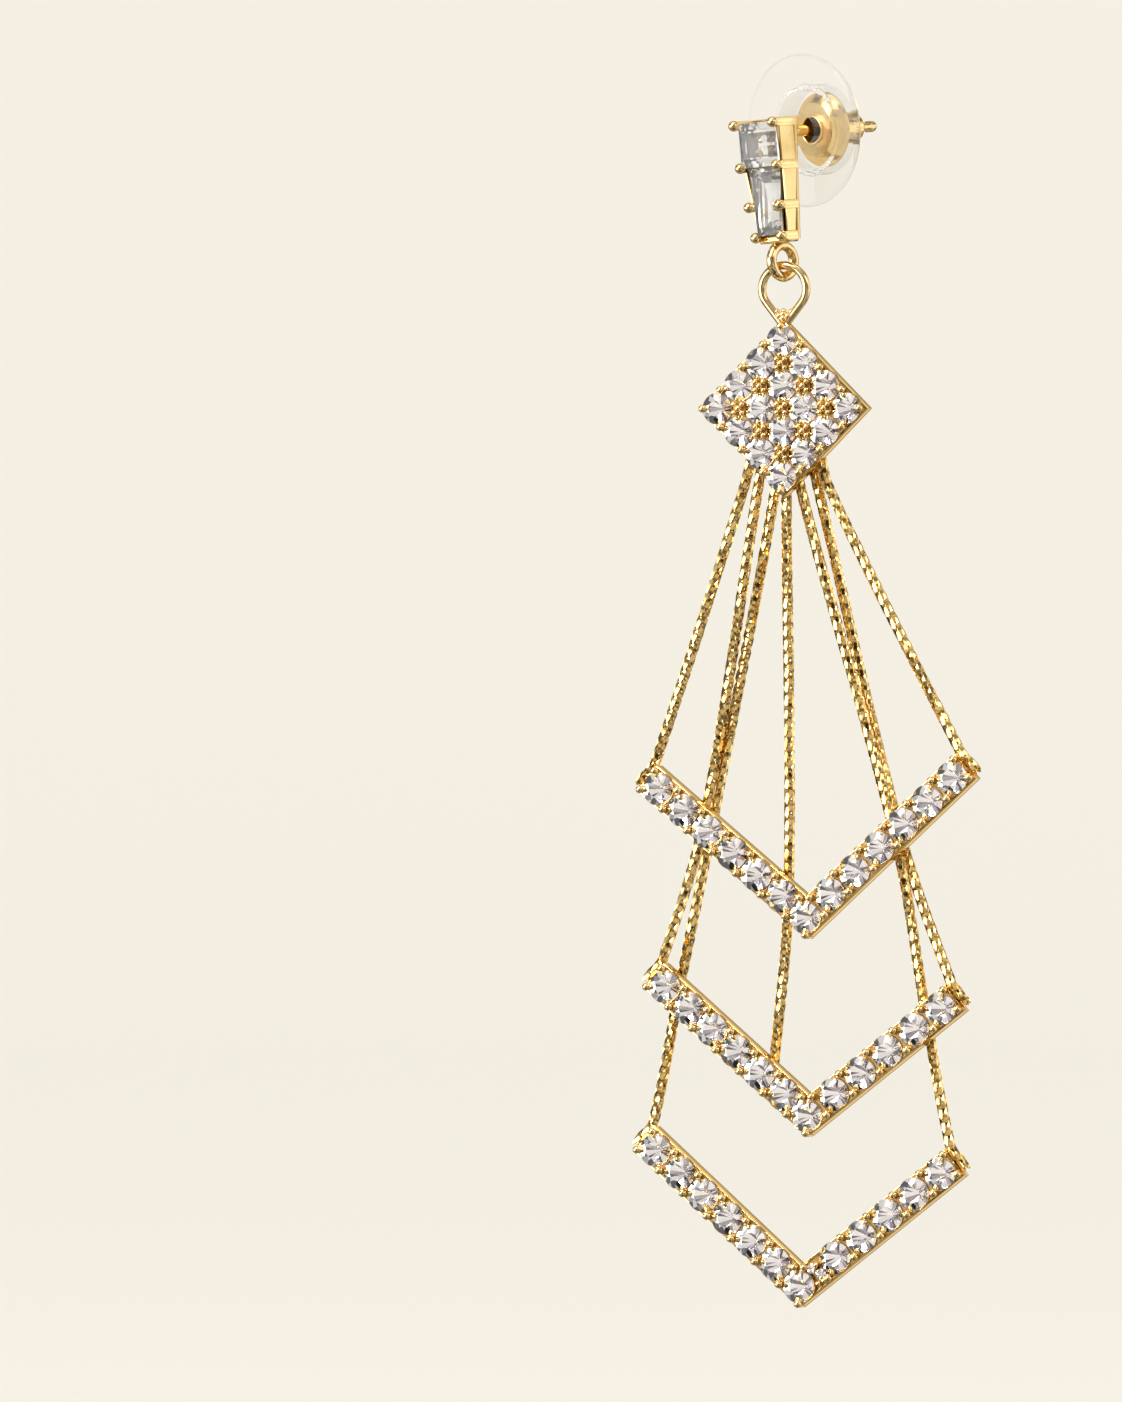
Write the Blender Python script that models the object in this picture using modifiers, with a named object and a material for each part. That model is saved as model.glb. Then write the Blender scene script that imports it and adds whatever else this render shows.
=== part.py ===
"""Chandelier earring: a stud with two cut stones, and a drop of a stone-set square, fine chains and three V bars.

Metres, +Z up. The origin is on the post's axis, in the middle of the gap that holds the ear lobe. The post
points to +Y and the stones face -Y. The drop hangs from the ring under the head, turned a little on its links.
"""

import math

import bmesh
import bpy
from mathutils import Euler, Matrix, Vector

MM = 0.001

# Clearances
STONE_GAP = 0.12 * MM  # round a stone in its prongs
LINK_GAP = 0.15 * MM  # between the bail and the ring that it hangs on
CHAIN_GAP = 0.12 * MM  # between a chain and the metal that it is soldered to
POST_GAP = 0.2 * MM  # round the post in its clutch
DISC_GAP = 0.3 * MM  # between the clear disc and the clutch that it is pushed on
OVERLAP = 0.3 * MM  # how far soldered shapes reach into each other

# How the stud sits in the lobe
STUD_DROOP_DEG = 3.5  # the weight tips the head down and the post's end up
STUD_LEAN_DEG = -3.5  # turn about the post, which brings the head's foot to +X

# Post
POST_DIAMETER = 0.8 * MM
POST_LENGTH = 9.9 * MM
POST_ROUNDING = 0.2 * MM
LOBE_GAP = 2.45 * MM

# Head: a row for each pair of prongs, top to bottom
HEAD_HEIGHT = 8.1 * MM
HEAD_WIDTH = 4.05 * MM
HEAD_DEPTH = 2.5 * MM
HEAD_RISE = 0.66 * MM  # of the top prongs over the post
PRONG_LEVELS = [
    # fall as a share of the height, width as a share, depth as a share
    (0.0, 1.0, 1.0),
    (0.377, 0.94, 0.93),
    (0.728, 0.8, 0.83),
    (1.0, 0.68, 0.76),
]
HEAD_BACK_THICKNESS = 0.5 * MM
PRONG_BAR_HEIGHT = 0.62 * MM
PRONG_BAR_THICKNESS = 0.42 * MM
PRONG_BEAD_DIAMETER = 0.78 * MM
FOOT_THICKNESS = 0.5 * MM

# Head stones
SQUARE_WIDTH = 3.6 * MM
SQUARE_HEIGHT = 3.1 * MM
BAGUETTE_TOP_WIDTH = 3.1 * MM
BAGUETTE_BOTTOM_WIDTH = 2.3 * MM
BAGUETTE_HEIGHT = 4.75 * MM
GIRDLE = 0.18 * MM
CROWN_STEPS = [(0.3, 0.22), (0.34, 0.16)]  # inset and rise of each step, in mm
PAVILION_STEPS = [(0.42, 0.5), (0.5, 0.35)]
CROWN_INSET = 0.35 * MM  # of the girdle behind the prong beads

# Clutch
DISC_DIAMETER = 11.0 * MM
DISC_THICKNESS = 0.5 * MM
DISC_HOLE = 2.3 * MM
DISC_EDGE = 0.14 * MM
COLLAR_WALL = 0.3 * MM
COLLAR_LENGTH = 1.85 * MM
FLANGE_DIAMETER = 5.3 * MM
FLANGE_FACE_DIAMETER = 4.0 * MM
FLANGE_BEVEL = 0.8 * MM
FLANGE_RIM = 0.2 * MM
STEP_DIAMETER = 4.5 * MM
STEP_LENGTH = 0.3 * MM
MOUTH_DIAMETER = 1.9 * MM
LIP_WIDTH = 0.16 * MM
LIP_HEIGHT = 0.2 * MM
CLUTCH_FACE = 1.2 * MM  # of the flange's face behind the disc's front
BARREL_DIAMETER = 2.1 * MM
BARREL_LENGTH = 4.4 * MM
BARREL_DOME = 0.65 * MM

# Ring under the head and the bail through it
RING_DIAMETER = 3.0 * MM
RING_WIRE = 0.74 * MM
RING_SETBACK = 0.65 * MM  # of the ring's middle in front of the head's back
BAIL_WIDTH = 3.93 * MM
BAIL_WIRE = 0.6 * MM
BAIL_ARC_STEPS = 15

# Drop
DROP_TURN_DEG = 26.0
SETTING_DEPTH = 1.55 * MM
SEAT_FRONT = 0.6 * MM  # of the seat's face in front of the drop's middle plane
STONE_DIAMETER = 2.16 * MM
STONE_TABLE = 1.24 * MM
STONE_CROWN = 0.42 * MM
STONE_SINK = 0.05 * MM
STONE_FACETS = 8
PRONG_DIAMETER = 0.62 * MM
PRONG_TOP_DIAMETER = 0.34 * MM
PRONG_HEIGHT = 0.5 * MM
PRONG_SIDES = 6

# Square
SQUARE_ROWS = 4
SQUARE_PITCH = 2.28 * MM
SQUARE_SIDE = 8.94 * MM
SQUARE_FALL = 9.41 * MM  # of its middle under the ring's wire
CLUSTER_DIAMETER = 1.0 * MM  # of the beads between four stones

# V bars
BAR_WIDTH = 2.55 * MM
BAR_PITCH = 2.42 * MM
BAR_END = 1.33 * MM  # of metal beyond the middle of the last stone
WINDOW_LENGTH = 1.3 * MM
WINDOW_DEPTH = 0.45 * MM
WINDOW_BACK = 0.5 * MM  # of rail behind the windows
CHEVRON_FALL = 72.1 * MM  # of the lowest bar's middle stone under the ring's wire
CHEVRON_OFFSET = 1.9 * MM
BARS = [
    # name, fall as a share, offset as a share, then for each arm: stones, degrees from plumb, first step and
    # pitch as shares of BAR_PITCH
    ("upper", 0.6345, 0.95, (6, 50.5, 0.99, 0.99), (6, 47.7, 1.02, 1.02)),
    ("middle", 0.831, 1.0, (6, 49.4, 0.97, 0.97), (5, 52.3, 1.05, 1.045)),
    ("lower", 1.0, 0.7, (6, 48.3, 1.0, 1.0), (5, 52.2, 1.4, 1.03)),
]

# Chains
CHAIN_DIAMETER = 0.66 * MM
CHAIN_POINT_STEP = 2.5  # diameters
CHAIN_START_FALL = 2.4 * MM  # of their tops under the square's middle
CHAIN_START_PITCH = 0.8 * MM
CHAIN_EXIT_FALL = 5.65 * MM  # where they come out from behind the square
CHAIN_EXIT_PITCH = 1.07 * MM
CHAIN_FAN_OFFSET = -0.3 * MM
CHAIN_LAYER = 1.1  # diameters that the second of two close chains lies deeper
LEFT, RIGHT = -1, 1
CHAINS = [
    # name, column, layer, crossings behind bars as (bar, arm, stones from the middle one), end bar, end arm
    ("upper_left", -3, 0, [], "upper", LEFT),
    ("middle_left", -2, 0, [("upper", LEFT, 4.5)], "middle", LEFT),
    ("lower_left", -1, 1, [("upper", LEFT, 4.3), ("middle", LEFT, 5.9)], "lower", LEFT),
    ("centre", 0, 0, [("upper", LEFT, 1.05), ("middle", LEFT, 1.8)], None, LEFT),
    ("lower_right", 1, 0, [("upper", RIGHT, 3.35), ("middle", RIGHT, 4.2)], "lower", RIGHT),
    ("middle_right", 2, 1, [("upper", RIGHT, 3.45)], "middle", RIGHT),
    ("upper_right", 3, 0, [], "upper", RIGHT),
]

# Fineness of the round shapes
POST_SIDES = 12
BARREL_SIDES = 24
DISC_SIDES = 32
BEAD_SIDES = 8
BEAD_RINGS = 6
RING_STEPS = 20
SHARP_ANGLE_DEG = 35.0
WELD = 1e-7

FRONT = Matrix.Rotation(math.radians(90.0), 4, "X")  # turns +Z to -Y, the way that the stones face


def clear_scene():
    for obj in list(bpy.data.objects):
        bpy.data.objects.remove(obj)


def new_collection(name):
    made = bpy.data.collections.new(name)
    bpy.context.scene.collection.children.link(made)
    return made


def new_material(name, colour, metallic, roughness, transmission=0.0):
    made = bpy.data.materials.new(name)
    made.use_nodes = True
    shader = made.node_tree.nodes["Principled BSDF"]
    shader.inputs["Base Color"].default_value = (*colour, 1.0)
    shader.inputs["Metallic"].default_value = metallic
    shader.inputs["Roughness"].default_value = roughness
    shader.inputs["Transmission Weight"].default_value = transmission
    return made


def new_object(name, data, home, parent, material=None):
    """One object under its parent's axes. A piece has a material and a helper has none."""
    made = bpy.data.objects.new(name, data)
    home.objects.link(made)
    made.parent = parent
    if material:
        made.data.materials.append(material)
    else:
        made.hide_render = True
        made.display_type = "WIRE"
    return made


def mesh_from(name, build):
    """A mesh filled by build, which adds shapes to the bmesh that it is given."""
    bm = bmesh.new()
    build(bm)
    mesh = bpy.data.meshes.new(name)
    bm.to_mesh(mesh)
    bm.free()
    return mesh


def smooth(obj):
    obj.data.shade_smooth()
    obj.data.set_sharp_from_angle(angle=math.radians(SHARP_ANGLE_DEG))


def boolean(obj, other, operation):
    modifier = obj.modifiers.new(f"{operation.lower()} {other.name}", "BOOLEAN")
    modifier.operation = operation
    modifier.object = other


def add_slab(bm, outline, front, back):
    """A flat outline in X and Z, made a slab between two depths along Y. Returns its front and back face."""
    face = bm.faces.new([bm.verts.new((x, front, z)) for x, z in outline])
    made = bmesh.ops.extrude_face_region(bm, geom=[face], use_keep_orig=True)["geom"]
    for item in made:
        if isinstance(item, bmesh.types.BMVert):
            item.co.y = back
    bmesh.ops.recalc_face_normals(bm, faces=bm.faces)
    behind = next(item for item in made if isinstance(item, bmesh.types.BMFace))
    return face, behind


def add_box(bm, low, high):
    middle = (Vector(low) + Vector(high)) / 2
    size = Vector(high) - Vector(low)
    bmesh.ops.create_cube(bm, matrix=Matrix.Translation(middle) @ Matrix.Diagonal((*size, 1.0)))


def add_frustum(bm, place, base, diameter, top, height, sides):
    """A cone cut short that stands on the depth base at place (x, z) and narrows to the front."""
    x, z = place
    bmesh.ops.create_cone(
        bm,
        cap_ends=True,
        segments=sides,
        radius1=diameter / 2,
        radius2=top / 2,
        depth=height,
        matrix=Matrix.Translation((x, base - height / 2, z)) @ FRONT,
    )


def turned(name, profile, sides, home, parent, material=None, on_axis=False):
    """A profile of (radius, distance along +Y) turned about the Y axis. A bored piece has a closed profile."""
    points = [(radius, 0.0, along) for radius, along in profile]
    edges = [(i, i + 1) for i in range(len(points) - 1)]
    if not on_axis:
        edges.append((len(points) - 1, 0))
    mesh = bpy.data.meshes.new(name)
    mesh.from_pydata(points, edges, [])
    made = new_object(name, mesh, home, parent, material)
    made.rotation_euler = (math.radians(-90.0), 0.0, 0.0)
    screw = made.modifiers.new("turn", "SCREW")
    screw.steps = screw.render_steps = sides
    screw.use_merge_vertices = True
    screw.merge_threshold = WELD
    screw.use_smooth_shade = True
    return made


def wire_mesh(name, points, diameter, cyclic=False, resolution=2):
    """A round wire along points, as a closed mesh. It is drawn as a curve and its caps are welded."""
    curve = bpy.data.curves.new(name, "CURVE")
    curve.dimensions = "3D"
    curve.bevel_depth = diameter / 2
    curve.bevel_resolution = resolution
    curve.use_fill_caps = True
    spline = curve.splines.new("POLY")
    spline.points.add(len(points) - 1)
    for point, place in zip(spline.points, points):
        point.co = (*place, 1.0)
    spline.use_cyclic_u = cyclic
    drawn = bpy.data.objects.new(name, curve)
    bpy.context.scene.collection.objects.link(drawn)
    graph = bpy.context.evaluated_depsgraph_get()
    mesh = bpy.data.meshes.new_from_object(drawn.evaluated_get(graph))
    bpy.data.objects.remove(drawn)
    bm = bmesh.new()
    bm.from_mesh(mesh)
    bmesh.ops.remove_doubles(bm, verts=bm.verts, dist=WELD)
    bmesh.ops.recalc_face_normals(bm, faces=bm.faces)
    bm.to_mesh(mesh)
    bm.free()
    return mesh


def smooth_route(route, step):
    """Points a step apart on the Catmull-Rom curve through route."""
    knots = [2 * route[0] - route[1], *route, 2 * route[-1] - route[-2]]
    points = [route[0]]
    for before, start, end, after in zip(knots, knots[1:], knots[2:], knots[3:]):
        pieces = max(1, round((end - start).length / step))
        for i in range(1, pieces + 1):
            t = i / pieces
            points.append(
                0.5
                * (
                    2 * start
                    + (end - before) * t
                    + (2 * before - 5 * start + 4 * end - after) * t**2
                    + (3 * start - before - 3 * end + after) * t**3
                )
            )
    return points


def head_back():
    return -LOBE_GAP / 2


def level_at(index):
    """Height, half width and front of the head at one pair of prongs."""
    fall, width, depth = PRONG_LEVELS[index]
    return HEAD_RISE - fall * HEAD_HEIGHT, width * HEAD_WIDTH / 2, head_back() - depth * HEAD_DEPTH


def trapezium(top, height, top_width, bottom_width, grow=0.0):
    """An upright outline about X = 0 that narrows downwards, grown by a margin on all sides."""
    a = top_width / 2 + grow
    b = bottom_width / 2 + grow
    return [(-a, top + grow), (a, top + grow), (b, top - height - grow), (-b, top - height - grow)]


def cut_stone(bm, outline, front, grow=0.0):
    """A step-cut stone: a girdle slab whose two faces are stepped in to a table and a keel."""
    face, behind = add_slab(bm, outline, front - grow, front + GIRDLE + grow)
    for faces, steps in ((face, CROWN_STEPS), (behind, PAVILION_STEPS)):
        for inset, rise in steps:
            bmesh.ops.inset_region(
                bm, faces=[faces], thickness=inset * MM, depth=rise * MM, use_even_offset=True
            )


def square_outline(grow=0.0):
    top = level_at(0)[0] + (SQUARE_HEIGHT + STONE_GAP + BAGUETTE_HEIGHT - HEAD_HEIGHT) / 2
    return trapezium(top, SQUARE_HEIGHT, SQUARE_WIDTH, SQUARE_WIDTH, grow)


def baguette_outline(grow=0.0):
    top = min(z for _, z in square_outline()) - STONE_GAP
    return trapezium(top, BAGUETTE_HEIGHT, BAGUETTE_TOP_WIDTH, BAGUETTE_BOTTOM_WIDTH, grow)


def girdle_front(index):
    return level_at(index)[2] + CROWN_INSET


def add_head_back(bm):
    """The plate behind the stones, as wide as the prong bars that stand on it."""
    top, top_half_width, _ = level_at(0)
    foot, foot_half_width, _ = level_at(len(PRONG_LEVELS) - 1)
    outline = trapezium(
        top + PRONG_BAR_HEIGHT / 2,
        top - foot + PRONG_BAR_HEIGHT,
        2 * top_half_width + PRONG_BAR_THICKNESS,
        2 * foot_half_width + PRONG_BAR_THICKNESS,
    )
    add_slab(bm, outline, head_back() - HEAD_BACK_THICKNESS, head_back())


def add_prong_bars(bm):
    """A flat bar from the back to the front on each side of each level."""
    for index in range(len(PRONG_LEVELS)):
        height, half_width, front = level_at(index)
        for side in (LEFT, RIGHT):
            x = side * half_width
            add_box(
                bm,
                (x - PRONG_BAR_THICKNESS / 2, front, height - PRONG_BAR_HEIGHT / 2),
                (x + PRONG_BAR_THICKNESS / 2, head_back() - OVERLAP, height + PRONG_BAR_HEIGHT / 2),
            )


def add_prong_beads(bm):
    """A bead at the front end of each bar."""
    for index in range(len(PRONG_LEVELS)):
        height, half_width, front = level_at(index)
        for side in (LEFT, RIGHT):
            bmesh.ops.create_uvsphere(
                bm,
                u_segments=BEAD_SIDES,
                v_segments=BEAD_RINGS,
                radius=PRONG_BEAD_DIAMETER / 2,
                matrix=Matrix.Translation((side * (half_width - PRONG_BAR_THICKNESS / 4), front, height)),
            )


def foot_box():
    """Lowest and highest corner of the flat foot that closes the head and carries the ring."""
    height, half_width, front = level_at(len(PRONG_LEVELS) - 1)
    low = height - PRONG_BAR_HEIGHT / 2 - FOOT_THICKNESS / 3
    return (
        (-half_width, front + PRONG_BEAD_DIAMETER / 2, low),
        (half_width, head_back() - OVERLAP / 2, low + FOOT_THICKNESS),
    )


def ring_middle():
    """Middle of the ring under the head, in the stud's own axes."""
    radius = (RING_DIAMETER - RING_WIRE) / 2
    return Vector((0.0, head_back() - RING_SETBACK, foot_box()[0][2] - radius - RING_WIRE / 4))


def stud_turn():
    return Euler((math.radians(STUD_DROOP_DEG), math.radians(STUD_LEAN_DEG), 0.0)).to_matrix()


def hang_point():
    """Middle of the ring's lowest wire, where the drop hangs and about which it sways."""
    lowest = ring_middle() - Vector((0.0, 0.0, (RING_DIAMETER - RING_WIRE) / 2))
    return stud_turn() @ lowest


def make_stud(parts, cutters, frame, gold, glass):
    setting = new_object("stud_setting", mesh_from("stud_setting", add_head_back), parts, frame, gold)
    bars = new_object("prong bars", mesh_from("prong bars", add_prong_bars), cutters, frame)
    beads = new_object("prong beads", mesh_from("prong beads", add_prong_beads), cutters, frame)
    foot = new_object("foot", mesh_from("foot", lambda bm: add_box(bm, *foot_box())), cutters, frame)

    start = head_back() - OVERLAP
    end = head_back() + POST_LENGTH
    radius = POST_DIAMETER / 2
    profile = [(0.0, end), (radius - POST_ROUNDING, end), (radius, end - POST_ROUNDING), (radius, start), (0.0, start)]
    post = turned("post", profile, POST_SIDES, cutters, frame, on_axis=True)

    middle = ring_middle()
    ring_radius = (RING_DIAMETER - RING_WIRE) / 2
    turns = [2 * math.pi * i / RING_STEPS for i in range(RING_STEPS)]
    points = [middle + Vector((0.0, ring_radius * math.sin(a), ring_radius * math.cos(a))) for a in turns]
    ring = new_object("ring", wire_mesh("ring", points, RING_WIRE, cyclic=True), cutters, frame)

    for shape in (bars, beads, foot, post, ring):
        boolean(setting, shape, "UNION")

    for name, outline, index in (
        ("square_stone", square_outline, 0),
        ("baguette_stone", baguette_outline, 2),
    ):
        front = girdle_front(index)
        stone = mesh_from(name, lambda bm: cut_stone(bm, outline(), front))
        new_object(name, stone, parts, frame, glass)
        seat_mesh = mesh_from(f"{name} seat", lambda bm: cut_stone(bm, outline(STONE_GAP), front, STONE_GAP))
        seat = new_object(f"{name} seat", seat_mesh, cutters, frame)
        boolean(setting, seat, "DIFFERENCE")
    smooth(setting)


def make_clutch(parts, frame, satin_gold, plastic):
    """A turned metal clutch on the post, in the collar of a clear disc that rests on the lobe."""
    disc_front = LOBE_GAP / 2
    face = disc_front + CLUTCH_FACE
    bevel_end = face + FLANGE_BEVEL
    rim_end = bevel_end + FLANGE_RIM
    step_end = rim_end + STEP_LENGTH
    end = face + BARREL_LENGTH
    mouth = MOUTH_DIAMETER / 2
    bore = POST_DIAMETER / 2 + POST_GAP
    barrel = BARREL_DIAMETER / 2
    profile = [
        (bore, end),
        (barrel - BARREL_DOME / 2, end),
        (barrel - BARREL_DOME / 6, end - BARREL_DOME / 3),
        (barrel, end - BARREL_DOME),
        (barrel, step_end),
        (STEP_DIAMETER / 2, step_end),
        (STEP_DIAMETER / 2, rim_end),
        (FLANGE_DIAMETER / 2, rim_end),
        (FLANGE_DIAMETER / 2, bevel_end),
        (FLANGE_FACE_DIAMETER / 2, face),
        (mouth + LIP_WIDTH, face),
        (mouth + LIP_WIDTH, face - LIP_HEIGHT),
        (mouth, face - LIP_HEIGHT),
        (bore, bevel_end),
    ]
    turned("clutch_barrel", profile, BARREL_SIDES, parts, frame, satin_gold)

    back = disc_front + DISC_THICKNESS
    outer = DISC_DIAMETER / 2
    collar = FLANGE_DIAMETER / 2 + DISC_GAP
    profile = [
        (collar, back + COLLAR_LENGTH),
        (collar + COLLAR_WALL, back + COLLAR_LENGTH),
        (collar + COLLAR_WALL, back),
        (outer - DISC_EDGE, back),
        (outer, back - DISC_EDGE),
        (outer, disc_front + DISC_EDGE),
        (outer - DISC_EDGE, disc_front),
        (DISC_HOLE / 2, disc_front),
        (DISC_HOLE / 2, back),
        (collar, back),
    ]
    turned("clutch_disc", profile, DISC_SIDES, parts, frame, plastic)


def bail_points():
    """A round top that narrows in two straight legs to the square's upper corner."""
    radius = (BAIL_WIDTH - BAIL_WIRE) / 2
    top = (RING_WIRE + BAIL_WIRE) / 2 + LINK_GAP
    middle = top - radius
    corner = square_corner() - OVERLAP
    reach = middle - corner
    spread = math.acos(radius / reach)
    first = math.pi - spread
    turns = [-first + 2 * first * i / BAIL_ARC_STEPS for i in range(BAIL_ARC_STEPS + 1)]
    arc = [Vector((radius * math.sin(a), 0.0, middle + radius * math.cos(a))) for a in turns]
    return [*arc, Vector((0.0, 0.0, corner))]


def square_corner():
    return SQUARE_SIDE / math.sqrt(2.0) - SQUARE_FALL


def grid(count, pitch):
    """Places of a square grid that stands on its corner, about the square's middle."""
    half = (count - 1) / 2
    places = []
    for i in range(count):
        for j in range(count):
            a = (i - half) * pitch / math.sqrt(2.0)
            b = (j - half) * pitch / math.sqrt(2.0)
            places.append((a - b, a + b - SQUARE_FALL))
    return places


def add_stones(bm, places):
    depth = STONE_CROWN + STONE_SINK
    wide = STONE_DIAMETER + 2 * STONE_SINK
    for place in places:
        add_frustum(bm, place, STONE_SINK - SEAT_FRONT, wide, STONE_TABLE, depth, STONE_FACETS)


def add_prongs(bm, places, diameter=PRONG_DIAMETER, top=PRONG_TOP_DIAMETER):
    for place in places:
        base = OVERLAP / 2 - SEAT_FRONT
        add_frustum(bm, place, base, diameter, top, PRONG_HEIGHT + OVERLAP / 2, PRONG_SIDES)


def set_with_stones(obj, cutters, frame, stones, prongs, clusters=()):
    """Joins cut stones and their prongs to a setting."""
    shapes = [
        ("stones", lambda bm: add_stones(bm, stones)),
        ("prongs", lambda bm: add_prongs(bm, prongs)),
    ]
    if clusters:
        top = CLUSTER_DIAMETER - PRONG_DIAMETER + PRONG_TOP_DIAMETER
        shapes.append(("clusters", lambda bm: add_prongs(bm, clusters, CLUSTER_DIAMETER, top)))
    for kind, build in shapes:
        name = f"{obj.name} {kind}"
        boolean(obj, new_object(name, mesh_from(name, build), cutters, frame), "UNION")


def make_square(parts, cutters, frame, gold):
    half = SQUARE_SIDE / math.sqrt(2.0)
    outline = [(0.0, half), (half, 0.0), (0.0, -half), (-half, 0.0)]
    outline = [(x, z - SQUARE_FALL) for x, z in outline]
    mesh = mesh_from("pave_square", lambda bm: add_slab(bm, outline, -SEAT_FRONT, SETTING_DEPTH - SEAT_FRONT))
    square = new_object("pave_square", mesh, parts, frame, gold)
    bail = wire_mesh("bail", bail_points(), BAIL_WIRE, cyclic=True)
    boolean(square, new_object("bail", bail, cutters, frame), "UNION")

    edge = SQUARE_SIDE / 2 - PRONG_DIAMETER / 2
    inner = (SQUARE_ROWS / 2 - 1) * SQUARE_PITCH
    prongs, clusters = [], []
    for x, z in grid(SQUARE_ROWS + 1, SQUARE_PITCH):
        a = (z + SQUARE_FALL + x) / math.sqrt(2.0)
        b = (z + SQUARE_FALL - x) / math.sqrt(2.0)
        if max(abs(a), abs(b)) < inner + SQUARE_PITCH / 2:
            clusters.append((x, z))
            continue
        a, b = (max(-edge, min(edge, value)) for value in (a, b))
        prongs.append(((a - b) / math.sqrt(2.0), (a + b) / math.sqrt(2.0) - SQUARE_FALL))
    set_with_stones(square, cutters, frame, grid(SQUARE_ROWS, SQUARE_PITCH), prongs, clusters)
    smooth(square)


class VBar:
    """Where a V bar's middle stone, arms and ends are, in the drop's own axes."""

    def __init__(self, row):
        self.name, fall, offset, left, right = row
        self.middle = Vector((offset * CHEVRON_OFFSET, -fall * CHEVRON_FALL))
        self.arms = {LEFT: left, RIGHT: right}

    def along(self, side):
        angle = math.radians(self.arms[side][1])
        return Vector((side * math.sin(angle), math.cos(angle)))

    def inward(self, side):
        """Square to the arm, towards the inside of the V."""
        along = self.along(side)
        return Vector((-side * along.y, side * along.x))

    def reach(self, side, stones):
        """Distance from the middle stone, counted in stones along an arm."""
        _, _, first, pitch = self.arms[side]
        if stones < 1:
            return stones * first * BAR_PITCH
        return (first + (stones - 1) * pitch) * BAR_PITCH

    def place(self, side, stones):
        return self.middle + self.along(side) * self.reach(side, stones)

    def end(self, side):
        return self.reach(side, self.arms[side][0]) + BAR_END

    def corner(self, offset):
        """Where the two arms' lines meet when both are moved inwards by offset."""
        left, right = self.along(LEFT), self.along(RIGHT)
        half = left.angle(right) / 2
        return self.middle + (left + right).normalized() * (offset / math.sin(half))

    def end_corner(self, side, offset, beyond=0.0):
        return self.middle + self.along(side) * (self.end(side) + beyond) + self.inward(side) * offset

    def outline(self):
        half = BAR_WIDTH / 2
        return [
            self.end_corner(LEFT, -half),
            self.corner(-half),
            self.end_corner(RIGHT, -half),
            self.end_corner(RIGHT, half),
            self.corner(half),
            self.end_corner(LEFT, half),
        ]

    def stones(self):
        places = [self.middle]
        for side in (LEFT, RIGHT):
            places += [self.place(side, i + 1) for i in range(self.arms[side][0])]
        return places

    def prongs(self):
        """Two prongs between each two stones, two at each end, and one in each corner of the V."""
        half = BAR_WIDTH / 2 - PRONG_DIAMETER / 2
        places = [self.corner(half), self.corner(-half)]
        for side in (LEFT, RIGHT):
            count = self.arms[side][0]
            for offset in (-half, half):
                places.append(self.end_corner(side, offset, beyond=-PRONG_DIAMETER / 2))
                for i in range(1 if offset < 0 else 2, count + 1):
                    between = (self.place(side, i - 1) + self.place(side, i)) / 2
                    places.append(between + self.inward(side) * offset)
        return places


def make_bar(bar, parts, cutters, frame, gold):
    name = f"v_bar_{bar.name}"
    back = SETTING_DEPTH - SEAT_FRONT
    mesh = mesh_from(name, lambda bm: add_slab(bm, bar.outline(), -SEAT_FRONT, back))
    obj = new_object(name, mesh, parts, frame, gold)

    def add_windows(bm):
        """A slot through the bar under each stone of an arm."""
        for side in (LEFT, RIGHT):
            along, inward = bar.along(side), bar.inward(side)
            for i in range(1, bar.arms[side][0] + 1):
                middle = bar.place(side, i)
                corners = [
                    middle + along * (a * WINDOW_LENGTH / 2) + inward * (b * BAR_WIDTH)
                    for a, b in ((-1, -1), (1, -1), (1, 1), (-1, 1))
                ]
                add_slab(bm, corners, back - WINDOW_BACK - WINDOW_DEPTH, back - WINDOW_BACK)

    windows = new_object(f"{name} windows", mesh_from(f"{name} windows", add_windows), cutters, frame)
    boolean(obj, windows, "DIFFERENCE")
    set_with_stones(obj, cutters, frame, bar.stones(), bar.prongs())
    smooth(obj)


def chain_route(row, bars):
    """From the square's back, behind the bars that it crosses, to lie along the end of the bar that it carries."""
    _, column, layer, crossings, end_bar, end_side = row
    radius = CHAIN_DIAMETER / 2
    behind = SETTING_DEPTH - SEAT_FRONT + CHAIN_GAP + radius
    deep = behind + layer * CHAIN_LAYER * CHAIN_DIAMETER
    route = [
        Vector((CHAIN_FAN_OFFSET + column * CHAIN_START_PITCH, behind, -SQUARE_FALL - CHAIN_START_FALL)),
        Vector((CHAIN_FAN_OFFSET + column * CHAIN_EXIT_PITCH, deep, -SQUARE_FALL - CHAIN_EXIT_FALL)),
    ]
    for name, side, stones in crossings:
        x, z = bars[name].place(side, stones)
        route.append(Vector((x, deep, z)))
    if end_bar:
        bar = bars[end_bar]
        beyond = CHAIN_GAP + radius
        half = BAR_WIDTH / 2
        middle_depth = SETTING_DEPTH / 2 - SEAT_FRONT
        for offset in (half + radius / 2, 0.0, radius - half):
            x, z = bar.end_corner(end_side, offset, beyond)
            route.append(Vector((x, middle_depth, z)))
    return route


def make_chain(row, bars, parts, frame, gold):
    name = f"chain_{row[0]}"
    points = smooth_route(chain_route(row, bars), CHAIN_POINT_STEP * CHAIN_DIAMETER)
    chain = new_object(name, wire_mesh(name, points, CHAIN_DIAMETER), parts, frame, gold)
    smooth(chain)


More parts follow.
